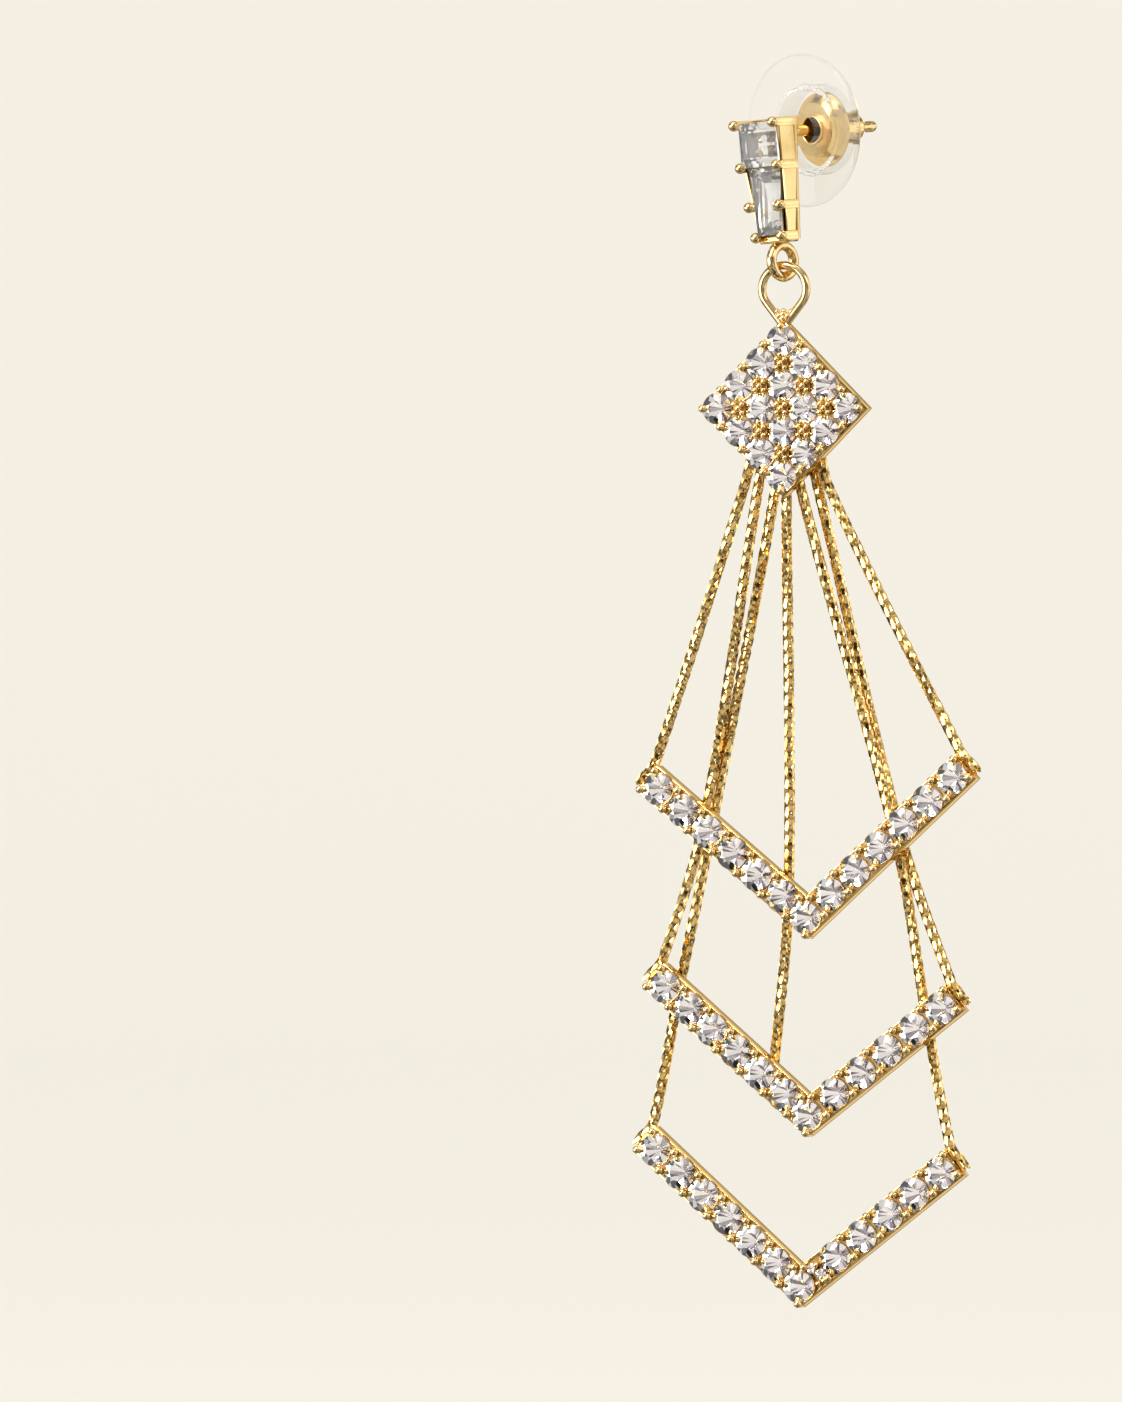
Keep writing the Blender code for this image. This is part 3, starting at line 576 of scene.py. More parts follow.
# Clutch disc
# A moulded comfort disc of clear plastic with a round hole and a thin collar, into which the clutch is
# pushed. It lies on the back of the lobe.
DISC_RADIUS, DISC_THICKNESS, DISC_HOLE_RADIUS = 5.5, 0.5, 1.15
COLLAR_GAP, COLLAR_WALL, COLLAR_LENGTH, COLLAR_FILLET, COLLAR_INNER_FILLET = 0.3, 0.3, 1.85, 0.1, 0.05
DISC_LIP, DISC_DISH = 0.12, 0.4
disc_back = DISC_FRONT + DISC_THICKNESS
collar = FLANGE_RADIUS + COLLAR_GAP
half_disc, half_wall = DISC_THICKNESS / 2, COLLAR_WALL / 2
disc_profile = np.vstack([
    arc((DISC_HOLE_RADIUS + DISC_LIP / 2, DISC_FRONT + DISC_LIP / 2), DISC_LIP / 2, 90.0, 270.0, 7),
    arc((DISC_RADIUS - half_disc, DISC_FRONT + half_disc), half_disc, 270.0, 450.0, 13),
    [(collar + COLLAR_WALL + COLLAR_FILLET, disc_back), (collar + COLLAR_WALL, disc_back + COLLAR_FILLET)],
    arc((collar + half_wall, disc_back + COLLAR_LENGTH - half_wall), half_wall, 0.0, 180.0, 7),
    [(collar, disc_back + COLLAR_INNER_FILLET), (collar - COLLAR_INNER_FILLET, disc_back)],
    [(collar - DISC_DISH, disc_back)],
])


def clear_plastic(name):
    """Clear moulded plastic, a little milky, with faint waves from the mould."""
    made, nodes, links, shader = new_material(name, IOR=1.1, Transmission_Weight=0.97, Coat_Weight=0.35)
    haze = fine_noise(nodes, links, 300.0)
    tint(nodes, links, haze, shader, (0.925, 0.92, 0.91), (0.965, 0.96, 0.95))
    links.new(ranged(nodes, links, haze, (0.0, 1.0), (0.0, 0.03)), shader.inputs["Roughness"])
    return made


add_piece(
    "comfort_disc", turned(disc_profile, 128, closed=True), stud_home, "stud",
    [clear_plastic("comfort_plastic")], "clutch_disc",
)

# Stone-set square
# A shallow gold-plated tray that hangs on its corner from a bent wire bail. Sixteen round stones sit in
# thin cups, with a bead at each end of each row, and groups of small beads where four stones meet.
DROP_TURN_DEG = 26.0
hang_point = stud_axes @ (ring_middle - [0.0, 0.0, ring_radius]) * MM
drop_home = (turn_about(2, DROP_TURN_DEG), hang_point)
SEAT, BACK = -0.6, 0.95
SQUARE_FALL, SQUARE_SIDE, SQUARE_PITCH, SQUARE_ROWS = 9.41, 8.94, 2.28, 4
SQUARE_CUP = 1.14
CUP_OUTSIDE = [
    # inset from the cup's radius and depth behind the seat
    (0.02, 0.02), (0.0, 0.05), (0.0, 0.32), (0.1, 0.45),
]
CUP_INSIDE = [(0.22, 0.3), (0.06, 0.05), (0.045, 0.02)]
CUP_FOOT_RADIUS, CUP_FOOT_RISE, CUP_FOOT_WALL = 0.66, 0.42, 0.1
TRAY_RIM, TRAY_FRONT, TRAY_BACK, TRAY_CORNER = 0.24, -0.3, BACK - 0.05, 0.06
TRAY_FLOOR, TRAY_BEVEL = 0.45, 0.1
BEAD_RADIUS, BEAD_MIDDLE, BEAD_INSET, BEAD_ROOT = 0.29, -0.84, 0.31, BACK - 0.2
BEAD_POLE_DEG, BEAD_NECK_DEG, BEAD_NECK, BEAD_NECK_ENDS = 172.0, 62.0, 0.86, (SEAT + 0.02, SEAT + 0.15)
WEB_FRONT, WEB_BACK, WEB_LAP = SEAT + 0.08, 0.1, 0.03
CLUSTER_BEAD, CLUSTER_MIDDLE_BEAD, CLUSTER_SPREAD = 0.19, 0.24, 0.42
SOLDER_BEAD = 0.26
BAIL_WIDTH, BAIL_WIRE, LINK_GAP, BAIL_REACH, BAIL_FOOT_SHIFT = 3.93, 0.6, 0.15, 0.3, 0.12


def in_depth(flat, depth=0.0):
    """Places in x and z, given a depth."""
    flat = np.atleast_2d(flat)
    return np.stack([flat[:, 0], np.full(len(flat), depth), flat[:, 1]], -1)


def stone_cup(radius):
    """A thin turned cup: a rounded rim under the stone's girdle, and a wall that narrows behind it."""
    foot = BACK - CUP_FOOT_RISE
    profile = [
        *[(radius - inset, SEAT + depth) for inset, depth in CUP_OUTSIDE],
        (CUP_FOOT_RADIUS, foot), (CUP_FOOT_RADIUS - CUP_FOOT_WALL, foot),
        *[(radius - inset, SEAT + depth) for inset, depth in CUP_INSIDE],
    ]
    return turned(profile, 32, closed=True)


def web(gap, cup, reach, front, back):
    """The metal between two neighbouring cups on one side of the line through their middles: both cups'
    arcs, from the line out to the wall. x runs from cup to cup and z out to the wall."""
    radius = cup - WEB_LAP
    widest = math.degrees(math.asin(reach / radius))
    outline = np.vstack([
        arc((gap / 2, 0.0), radius, 180.0, 180.0 - widest, 8),
        arc((-gap / 2, 0.0), radius, widest, 0.0, 8),
    ])
    return plate([outline, outline], [front, back])


def bead_post(radius, back):
    """A round post with a ball for a head: round the ball from its front pole, in to the neck and back."""
    head = arc((BEAD_MIDDLE, 0.0), radius, BEAD_POLE_DEG, BEAD_NECK_DEG, 8)[:, ::-1]
    neck = [(radius * BEAD_NECK, depth) for depth in (*BEAD_NECK_ENDS, back)]
    return turned(np.vstack([head, neck]), 14)


def standing_grid(count, pitch):
    """Distances of a square grid's points along the square's two edges, counted from its middle."""
    step = (np.arange(count) - (count - 1) / 2) * pitch
    a, b = [side.ravel() for side in np.meshgrid(step, step)]
    return a, b


def on_corner(a, b, depth=0.0):
    """Places in the square, which stands on its corner, from distances along its two edges: x is their
    difference and z their sum, each over the root of two."""
    x, z = (a - b) / math.sqrt(2.0), (a + b) / math.sqrt(2.0) - SQUARE_FALL
    return np.stack([x, np.full_like(x, depth), z], -1)


def between_four():
    """The metal between four neighbouring cups of the square: a plate of four arcs that curve inwards."""
    half = SQUARE_PITCH / 2
    corners = [((half, half), 270.0), ((-half, half), 360.0), ((-half, -half), 90.0), ((half, -half), 180.0)]
    outline = np.vstack([arc(middle, SQUARE_CUP - WEB_LAP, end, end - 90.0, 7) for middle, end in corners])
    outline = on_corner(*outline.T)[:, [0, 2]] + [0.0, SQUARE_FALL]
    return plate([outline, outline], [WEB_FRONT, WEB_BACK])


def square_outline(inset=0.0):
    """The tray's outline on its corner, anticlockwise in x and z."""
    half = SQUARE_SIDE / 2 - inset
    a, b = half * np.array([1.0, -1.0, -1.0, 1.0]), half * np.array([1.0, 1.0, -1.0, -1.0])
    return on_corner(a, b)[:, [0, 2]]


bail_radius = (BAIL_WIDTH - BAIL_WIRE) / 2
bail_middle = (RING_WIRE + BAIL_WIRE) / 2 + LINK_GAP - bail_radius
square_corner = SQUARE_SIDE / math.sqrt(2.0) - SQUARE_FALL
bail_foot = square_corner - BAIL_REACH
leg_start = 180.0 - math.degrees(math.acos(bail_radius / (bail_middle - bail_foot)))
bail_arc = arc((0.0, bail_middle), bail_radius, 90.0 + leg_start, 90.0 - leg_start, 41)
bail_line = np.vstack([[(-BAIL_FOOT_SHIFT, bail_foot)], bail_arc, [(BAIL_FOOT_SHIFT, bail_foot)]])
bail_path = in_depth(bail_line)

stone_a, stone_b = standing_grid(SQUARE_ROWS, SQUARE_PITCH)
square_stones = on_corner(stone_a, stone_b)
meet_a, meet_b = standing_grid(SQUARE_ROWS + 1, SQUARE_PITCH)
inside = np.maximum(abs(meet_a), abs(meet_b)) < (SQUARE_ROWS / 2 - 0.5) * SQUARE_PITCH
edge = SQUARE_SIDE / 2 - BEAD_INSET
edge_beads = on_corner(np.clip(meet_a[~inside], -edge, edge), np.clip(meet_b[~inside], -edge, edge))
line = (SQUARE_ROWS - 1) / 2 * SQUARE_PITCH
joint_a, joint_b = np.clip(meet_a, -line, line), np.clip(meet_b, -line, line)
at_edge = ~inside & (np.minimum(abs(meet_a), abs(meet_b)) < line)
edge_joints = on_corner(joint_a[at_edge], joint_b[at_edge])
outward = on_corner(meet_a[at_edge], meet_b[at_edge]) - edge_joints
edge_turns = [turn_about(1, math.degrees(math.atan2(x, z))) for x, _, z in outward]
cluster = in_depth(arc((0.0, 0.0), CLUSTER_SPREAD, 45.0, 315.0, 4))
cluster_middles = on_corner(meet_a[inside], meet_b[inside])
clusters = (cluster_middles[:, None] + cluster).reshape(-1, 3)
solder_beads = np.array([
    # x, y and z from the square's upper corner, and size as a share
    (0.0, -0.34, 0.1, 1.2), (-0.34, -0.16, 0.3, 1.0), (0.32, -0.18, 0.28, 1.05), (0.02, -0.3, 0.42, 0.95),
    (0.0, 0.2, 0.32, 1.1), (-0.28, 0.16, 0.08, 1.0), (0.29, 0.14, 0.1, 0.95), (-0.02, -0.08, 0.62, 0.85),
    (-0.52, -0.06, 0.62, 0.75), (0.53, -0.04, 0.6, 0.8),
])
rim_section = flat_section(TRAY_RIM, TRAY_BACK - TRAY_FRONT, TRAY_CORNER)
edge_web = web(SQUARE_PITCH, SQUARE_CUP, SQUARE_SIDE / 2 - line - TRAY_RIM / 2, WEB_FRONT, WEB_BACK)
square_polished = joined(
    bevelled(square_outline, BACK - TRAY_FLOOR, BACK, TRAY_BEVEL),
    framed(square_outline(TRAY_RIM / 2), rim_section, (TRAY_BACK + TRAY_FRONT) / 2),
    copies(bead_post(BEAD_RADIUS, BEAD_ROOT), edge_beads),
    copies(bead_post(CLUSTER_BEAD, 0.0), clusters),
    copies(bead_post(CLUSTER_MIDDLE_BEAD, 0.0), cluster_middles),
    swept(bail_path, round_section(BAIL_WIRE / 2, 16), (0.0, 1.0, 0.0)),
    copies(ball(SOLDER_BEAD), solder_beads[:, :3] + [0.0, 0.0, square_corner], sizes=solder_beads[:, 3]),
)
square_recessed = joined(
    copies(stone_cup(SQUARE_CUP), square_stones),
    copies(between_four(), cluster_middles),
    copies(edge_web, edge_joints, edge_turns),
)
# painted shade: the cups and the webs between stones are a darker brown gold, for the shade in these recesses
recess_painted_shade = plated_metal("recess_painted_shade", (0.58, 0.37, 0.13), 0.3, 5200.0, 0.2)
add_piece(
    "square_tray", joined(square_polished, square_recessed), drop_home, "drop",
    [polished_gold, recess_painted_shade], "pave_square",
    kinds=face_kinds((square_polished, 0), (square_recessed, 1)),
)

# Round stones
# Round brilliants: a clear crown of table, stars, kites and upper facets, and from the girdle back a silver
# foil on the girdle, the lower facets and the mains, painted lighter or darker facet by facet as painted
# reflections. One mesh holds all the stones of a setting.
STONE_RADIUS, TABLE_RADIUS, CROWN_HEIGHT = 1.1, 0.56, 0.4
STAR_RADIUS, PAVILION_DEPTH, LOWER_RADIUS, GIRDLE_WIDTH = 0.8, 0.86, 0.42, 0.06
FACETS = 12
GIRDLE_PROUD, GIRDLE_LIGHT = 0.04, 0.8
STONE_SPIN_DEG, STONE_TIP_DEG, STONE_TIP_PACES = 137.5, 2.4, (2.1, 3.3)
LIGHT_SPREAD, LIGHT_PACES = 0.15, (1.7, 2.3)
FACET_LIGHT = [
    # painted light of two lower facets and the main one beside them, which take turns round the stone:
    # painted reflections that the foil shows
    (0.1, 1.0, 0.75),
    (0.9, 0.15, 1.0),
    (0.35, 1.0, 0.25),
    (1.0, 0.2, 0.85),
]


def brilliant():
    """Points, faces and painted foil tones of one stone, its girdle on the plane y = 0 and its table towards
    the viewer. The tones are painted reflections, for the foil to show. The ring between table and girdle is
    set half a facet round, at the height where each kite through it is flat, and so is the ring between
    girdle and point."""
    main = np.arange(FACETS) * 2 * np.pi / FACETS
    half = main + np.pi / FACETS
    girdle = np.arange(2 * FACETS) * np.pi / FACETS
    lean = math.cos(math.pi / FACETS)
    star_share = (STAR_RADIUS * lean - TABLE_RADIUS) / (STONE_RADIUS - TABLE_RADIUS)
    rings = [
        (TABLE_RADIUS, -CROWN_HEIGHT, main),
        (STAR_RADIUS, -CROWN_HEIGHT * (1 - star_share), half),
        (STONE_RADIUS, 0.0, girdle),
        (STONE_RADIUS, GIRDLE_WIDTH, girdle),
        (LOWER_RADIUS, GIRDLE_WIDTH + PAVILION_DEPTH * (1 - LOWER_RADIUS * lean / STONE_RADIUS), half),
        (0.0, GIRDLE_WIDTH + PAVILION_DEPTH, main[:1]),
    ]
    points = np.vstack([np.stack([r * np.sin(a), d + 0 * a, r * np.cos(a)], -1) for r, d, a in rings])
    table, star, top, low, lower, culet = np.cumsum([0] + [len(a) for _, _, a in rings])[:-1]
    crown, foil, tones = [list(range(table, star))], [], []
    for i in range(FACETS):
        before, after = (i - 1) % FACETS, (i + 1) % FACETS
        first, second, third = 2 * i, 2 * i + 1, (2 * i + 2) % (2 * FACETS)
        crown += [
            [table + i, star + i, table + after],
            [table + i, star + before, top + first, star + i],
            [star + i, top + first, top + second],
            [star + i, top + second, top + third],
        ]
        foil += [
            [top + first, low + first, low + second, top + second],
            [top + second, low + second, low + third, top + third],
            [lower + i, low + second, low + first],
            [lower + i, low + third, low + second],
            [culet, lower + i, low + first, lower + before],
        ]
        tones += [GIRDLE_LIGHT, GIRDLE_LIGHT, *FACET_LIGHT[i % len(FACET_LIGHT)]]
    return points, crown, foil, tones


def set_stones(name, places, sizes=1.0):
    """All the stones of one setting, each turned about its own axis by its number and tipped a little in
    its cup: the tip goes with the sine and cosine of the number, and the foil's painted reflection tones with
    the sine of stone and facet."""
    points, crown, foil, foil_light = brilliant()
    number = np.arange(len(places))
    tip_x = STONE_TIP_DEG * np.sin(STONE_TIP_PACES[0] * number)
    tip_z = STONE_TIP_DEG * np.cos(STONE_TIP_PACES[1] * number)
    turns = [
        turn_about(0, x) @ turn_about(2, z) @ turn_about(1, spin)
        for x, z, spin in zip(tip_x, tip_z, number * STONE_SPIN_DEG)
    ]
    sizes = np.broadcast_to(sizes, number.shape)[:, None, None]
    moved = np.einsum("kij,nj->kni", turns, points) * sizes + places[:, None, :]
    moved[..., 1] += SEAT - GIRDLE_PROUD
    starts = number * len(points)
    faces = [[start + corner for corner in face] for start in starts for face in crown + foil]
    kinds = np.tile([0] * len(crown) + [1] * len(foil), len(places))
    phase = LIGHT_PACES[0] * number[:, None] + LIGHT_PACES[1] * np.arange(len(foil_light))
    tones = np.hstack([np.ones((len(places), len(crown))), foil_light + LIGHT_SPREAD * np.sin(phase)])
    piece = placed_mesh(name, moved.reshape(-1, 3), faces, drop_home, stone_materials, kinds)
    paint_facet_light(piece, tones.ravel())
    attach(piece, "drop")


stone_materials = [
    clear_stone("round_crystal", (1.0, 0.99, 1.0), 1.6, 0.7),
    # painted reflections: this foil runs from near black to white with each facet's painted tone
    mirror_foil("stone_foil", (0.12, 0.1, 0.13), (0.97, 0.95, 0.99), 0.95),
]
set_stones("square_brilliants", square_stones)

# V bars
# Three cast and gold-plated V bars of one row of round stones each. The stones sit in cups between two
# straight walls, held by shared beads along both edges, with webs of metal where the stones leave room. In
# the lower bar's wide first gap sit two small stones and three small beads.
BAR_WIDTH, BAR_PITCH, BAR_END = 2.55, 2.42, 1.33
BAR_CUP, BAR_BEADS = 1.2, 0.87
BAR_WALL, BAR_WALL_INSET, BAR_WALL_CORNER = 0.18, 0.11, 0.05
BAR_WALL_FRONT, BAR_BEAD_ROOT, BAR_BACK = SEAT + 0.2, 0.3, BACK - 0.12
BAR_STONE_RADIUS = 1.17
TIP_BEAD, VERTEX_BEADS, VERTEX_SPREAD = 0.95, 1.06, 0.35
WIDE_GAP, WIDE_WEB_FRONT, WEB_SEAM = 1.2 * BAR_PITCH, SEAT + 0.34, 0.01
SMALL_STONES = np.array([
    # way along the lower bar's right arm, way inwards and radius
    (1.56, 0.44, 0.38),
    (1.84, -0.28, 0.4),
])
SMALL_BEADS, SMALL_BEAD = np.array([(1.32, -0.74), (1.78, -0.84), (1.98, 0.42)]), 0.19
CHEVRON_FALL, CHEVRON_OFFSET = 72.1, 1.9
BARS = {
    # fall and offset as shares; then for each arm its stones, its degrees from plumb, and its first step and
    # its pitch as shares
    "upper": (0.6345, 0.95, (6, 50.5, 0.99, 0.99), (6, 47.7, 1.02, 1.02)),
    "middle": (0.831, 1.0, (6, 49.4, 0.97, 0.97), (5, 52.3, 1.05, 1.045)),
    "lower": (1.0, 0.7, (6, 48.3, 1.0, 1.0), (5, 52.2, 1.4, 1.03)),
}


class Chevron:
    """Where one V bar's middle stone, arms and ends are, in x and z of the drop."""

    def __init__(self, fall, offset, left, right):
        self.middle = np.array([offset * CHEVRON_OFFSET, -fall * CHEVRON_FALL])
        self.arms = {LEFT: left, RIGHT: right}

    def along(self, side):
        """The direction of an arm, away from the middle stone."""
        angle = math.radians(self.arms[side][1])
        return np.array([side * math.sin(angle), math.cos(angle)])

    def inward(self, side):
        """The direction across an arm, into the V."""
        x, z = self.along(side)
        return np.array([-side * z, side * x])

    def reach(self, side, stones):
        """How far a number of stones reaches along an arm: the first step and then the pitches."""
        _, _, first, pitch = self.arms[side]
        return BAR_PITCH * (stones * first if stones < 1 else first + (stones - 1) * pitch)

    def place(self, side, stones):
        return self.middle + self.along(side) * self.reach(side, stones)

    def corner(self, offset):
        """Where both arms' lines meet when they are moved inwards by offset."""
        both = self.along(LEFT) + self.along(RIGHT)
        size = np.linalg.norm(both)
        half_sine = math.sqrt(1 - (size / 2) ** 2)
        return self.middle + both / size * offset / half_sine

    def end(self, side, offset, beyond=0.0):
        """A place at an arm's end, moved inwards by offset and outwards along the arm by beyond."""
        reach = self.reach(side, self.arms[side][0]) + BAR_END + beyond
        return self.middle + self.along(side) * reach + self.inward(side) * offset

    def outline(self, inset=0.0):
        half = BAR_WIDTH / 2 - inset
        return np.array([
            self.end(LEFT, -half, -inset), self.corner(-half), self.end(RIGHT, -half, -inset),
            self.end(RIGHT, half, -inset), self.corner(half), self.end(LEFT, half, -inset),
        ])

    def stones(self):
        arms = [self.place(side, i + 1) for side in (LEFT, RIGHT) for i in range(self.arms[side][0])]
        return np.array([self.middle, *arms])

    def joints(self, side):
        """Places half a pitch before each stone of one arm."""
        count, _, _, pitch = self.arms[side]
        back = self.along(side) * BAR_PITCH * pitch / 2
        return [self.place(side, i + 1) - back for i in range(count)]

    def beads(self):
        vertex, spread = self.corner(VERTEX_BEADS), np.array([VERTEX_SPREAD, 0.0])
        places = [self.corner(-TIP_BEAD), vertex - spread, vertex + spread]
        for side in (LEFT, RIGHT):
            for offset in (-BAR_BEADS, BAR_BEADS):
                places.append(self.end(side, offset, -BEAD_INSET))
                joints = self.joints(side)[0 if offset < 0 else 1:]
                places += [joint + self.inward(side) * offset for joint in joints]
        return np.array(places)


def webs(bar):
    """The webs of one bar, on both sides of the line of stones, and the solid metal behind them. The lower
    bar's wide one lies deeper."""
    reach = BAR_WIDTH / 2 - BAR_WALL_INSET - BAR_WALL / 2
    fronts, backs = [], []
    for side in (LEFT, RIGHT):
        along, inward = in_depth([side * bar.along(side), bar.inward(side)])
        axes = np.stack([along, [0.0, 1.0, 0.0], inward], -1)
        turns = [axes, axes @ turn_about(1, 180.0)]
        for i in range(bar.arms[side][0]):
            before, after = bar.place(side, i), bar.place(side, i + 1)
            gap = np.linalg.norm(after - before)
            front = WIDE_WEB_FRONT if gap > WIDE_GAP else WEB_FRONT
            both = in_depth([(before + after) / 2] * 2)
            fronts.append(copies(web(gap, BAR_CUP, reach, front, WEB_BACK), both, turns))
            backs.append(copies(web(gap, BAR_CUP, reach, WEB_BACK + WEB_SEAM, BAR_BACK), both, turns))
    return joined(*fronts), joined(*backs)


for bar_name, row in BARS.items():
    bar = Chevron(*row)
    bar_stones = in_depth(bar.stones())
    stone_sizes = np.full(len(bar_stones), BAR_STONE_RADIUS / STONE_RADIUS)
    inset, depth = BAR_WALL_INSET + BAR_WALL / 2, BACK - BAR_WALL_FRONT
    web_fronts, web_backs = webs(bar)
    # the cups and front webs take the painted shade of the recesses
    bar_recessed = joined(copies(stone_cup(BAR_CUP), bar_stones), web_fronts)
    bar_polished = joined(
        web_backs,
        framed(bar.outline(inset), flat_section(BAR_WALL, depth, BAR_WALL_CORNER), BACK - depth / 2),
        copies(bead_post(BEAD_RADIUS, BAR_BEAD_ROOT), in_depth(bar.beads())),
    )
    if bar_name == "lower":
        arm = np.stack([bar.along(RIGHT), bar.inward(RIGHT)])
        small = in_depth(bar.middle + SMALL_STONES[:, :2] @ arm)
        bar_stones = np.vstack([bar_stones, small])
        stone_sizes = np.concatenate([stone_sizes, SMALL_STONES[:, 2] / STONE_RADIUS])
        small_beads = copies(bead_post(SMALL_BEAD, BAR_BEAD_ROOT), in_depth(bar.middle + SMALL_BEADS @ arm))
        bar_polished = joined(bar_polished, small_beads)
    add_piece(
        f"v_bar_{bar_name}_metal", joined(bar_polished, bar_recessed), drop_home, "drop",
        [polished_gold, recess_painted_shade], f"v_bar_{bar_name}",
        kinds=face_kinds((bar_polished, 0), (bar_recessed, 1)),
    )
    set_stones(f"v_bar_{bar_name}_brilliants", bar_stones, stone_sizes)

# Chains
# Seven fine gold-plated foxtail chains, soldered to the back of the square. Six end along the ends of the
# bars, the centre one behind the middle bar. The links overlap like scales, with flat cut faces.
CHAIN_DIAMETER = 0.68
CHAIN_GAP, CHAIN_LAYER = 0.12, 1.1
CHAIN_START_FALL, CHAIN_START_PITCH = 2.4, 0.8
CHAIN_EXIT_FALL, CHAIN_EXIT_PITCH, CHAIN_FAN_OFFSET = 5.65, 1.07, -0.3
CHAINS = {
    # name: column, layer, crossings behind bars as (bar, arm, stones from the middle one), end bar, end arm
    "upper_left": (-3, 0, [], "upper", LEFT),
    "middle_left": (-2, 0, [("upper", LEFT, 4.5)], "middle", LEFT),
    "lower_left": (-1, 1, [("upper", LEFT, 4.3), ("middle", LEFT, 5.9)], "lower", LEFT),
    "centre": (0, 0, [("upper", LEFT, 1.05), ("middle", LEFT, 1.8)], None, LEFT),
    "lower_right": (1, 0, [("upper", RIGHT, 3.35), ("middle", RIGHT, 4.2)], "lower", RIGHT),
    "middle_right": (2, 1, [("upper", RIGHT, 3.45)], "middle", RIGHT),
    "upper_right": (3, 0, [], "upper", RIGHT),
}
SCALE_LENGTH, SCALE_WIDTH, SCALE_THICKNESS, SCALE_FLAT = 1.12, 0.34, 0.22, 0.72
SCALE_SHAPE = np.array([
    # way along one link, as a share of its half length, and its width and thickness there, as a share
    (-1.0, 0.2), (-0.8, 0.68), (-0.45, 1.0), (0.45, 1.0), (0.8, 0.68), (1.0, 0.2),
])
SCALES_ROUND, ROW_PITCH, SCALE_RADIUS, CORE_RADIUS = 4, 0.5, 0.25, 0.21
SCALE_LEAN_DEG, FIRST_COLUMN_DEG = 10.0, 10.0
WINDING = [(0.2, 0.19), (0.12, 0.71)]  # size and pace of each wave in which the columns wind
chevrons = {name: Chevron(*row) for name, row in BARS.items()}


def chain_route(column, layer, crossings, end_bar, end_side):
    """A chain's few chosen points: its solder point, where it comes out under the square, its crossings,
    and three points along the end of its bar."""
    radius = CHAIN_DIAMETER / 2
    behind = BACK + CHAIN_GAP + radius
    deep = behind + layer * CHAIN_LAYER * CHAIN_DIAMETER
    route = [
        (CHAIN_FAN_OFFSET + column * CHAIN_START_PITCH, behind, -SQUARE_FALL - CHAIN_START_FALL),
        (CHAIN_FAN_OFFSET + column * CHAIN_EXIT_PITCH, deep, -SQUARE_FALL - CHAIN_EXIT_FALL),
    ]
    route += [in_depth(chevrons[name].place(side, stones), deep)[0] for name, side, stones in crossings]
    if end_bar:
        half = BAR_WIDTH / 2
        beyond = radius - BAR_WALL_INSET
        for offset in (half - radius / 2, 0.0, radius - half):
            route.append(in_depth(chevrons[end_bar].end(end_side, offset, beyond), (SEAT + BACK) / 2)[0])
    return np.array(route)


def smooth_curve(route, steps=40):
    """A cubic between each two points of the route. Its direction at a point is that from the point before
    to the point after, and its pace is the length of the stretch."""
    knots = np.vstack([2 * route[0] - route[1], route, 2 * route[-1] - route[-2]])
    heading = knots[2:] - knots[:-2]
    heading /= np.linalg.norm(heading, axis=1, keepdims=True)
    start, end = route[:-1, None], route[1:, None]
    length = np.linalg.norm(end - start, axis=2, keepdims=True)
    t = (np.arange(steps) / steps)[None, :, None]
    curve = start * (2 * t**3 - 3 * t**2 + 1) + end * (3 * t**2 - 2 * t**3)
    curve = curve + length * (heading[:-1, None] * (t**3 - 2 * t**2 + t) + heading[1:, None] * (t**3 - t**2))
    return np.vstack([curve.reshape(-1, 3), route[-1:]])


def chain_scale():
    """The outer face of one link: a lozenge of six sides along x, flat towards y, whose width and thickness
    fall off towards its ends."""
    along, share = SCALE_SHAPE.T
    hexagon = np.array([
        (1.0, -SCALE_FLAT), (1.0, SCALE_FLAT), (0.0, 1.0),
        (-1.0, SCALE_FLAT), (-1.0, -SCALE_FLAT), (0.0, -1.0),
    ]) * [SCALE_THICKNESS / 2, SCALE_WIDTH / 2]
    path = np.outer(along * SCALE_LENGTH / 2, [1.0, 0.0, 0.0])
    return swept(path, hexagon * share[:, None, None], (0.0, 1.0, 0.0))


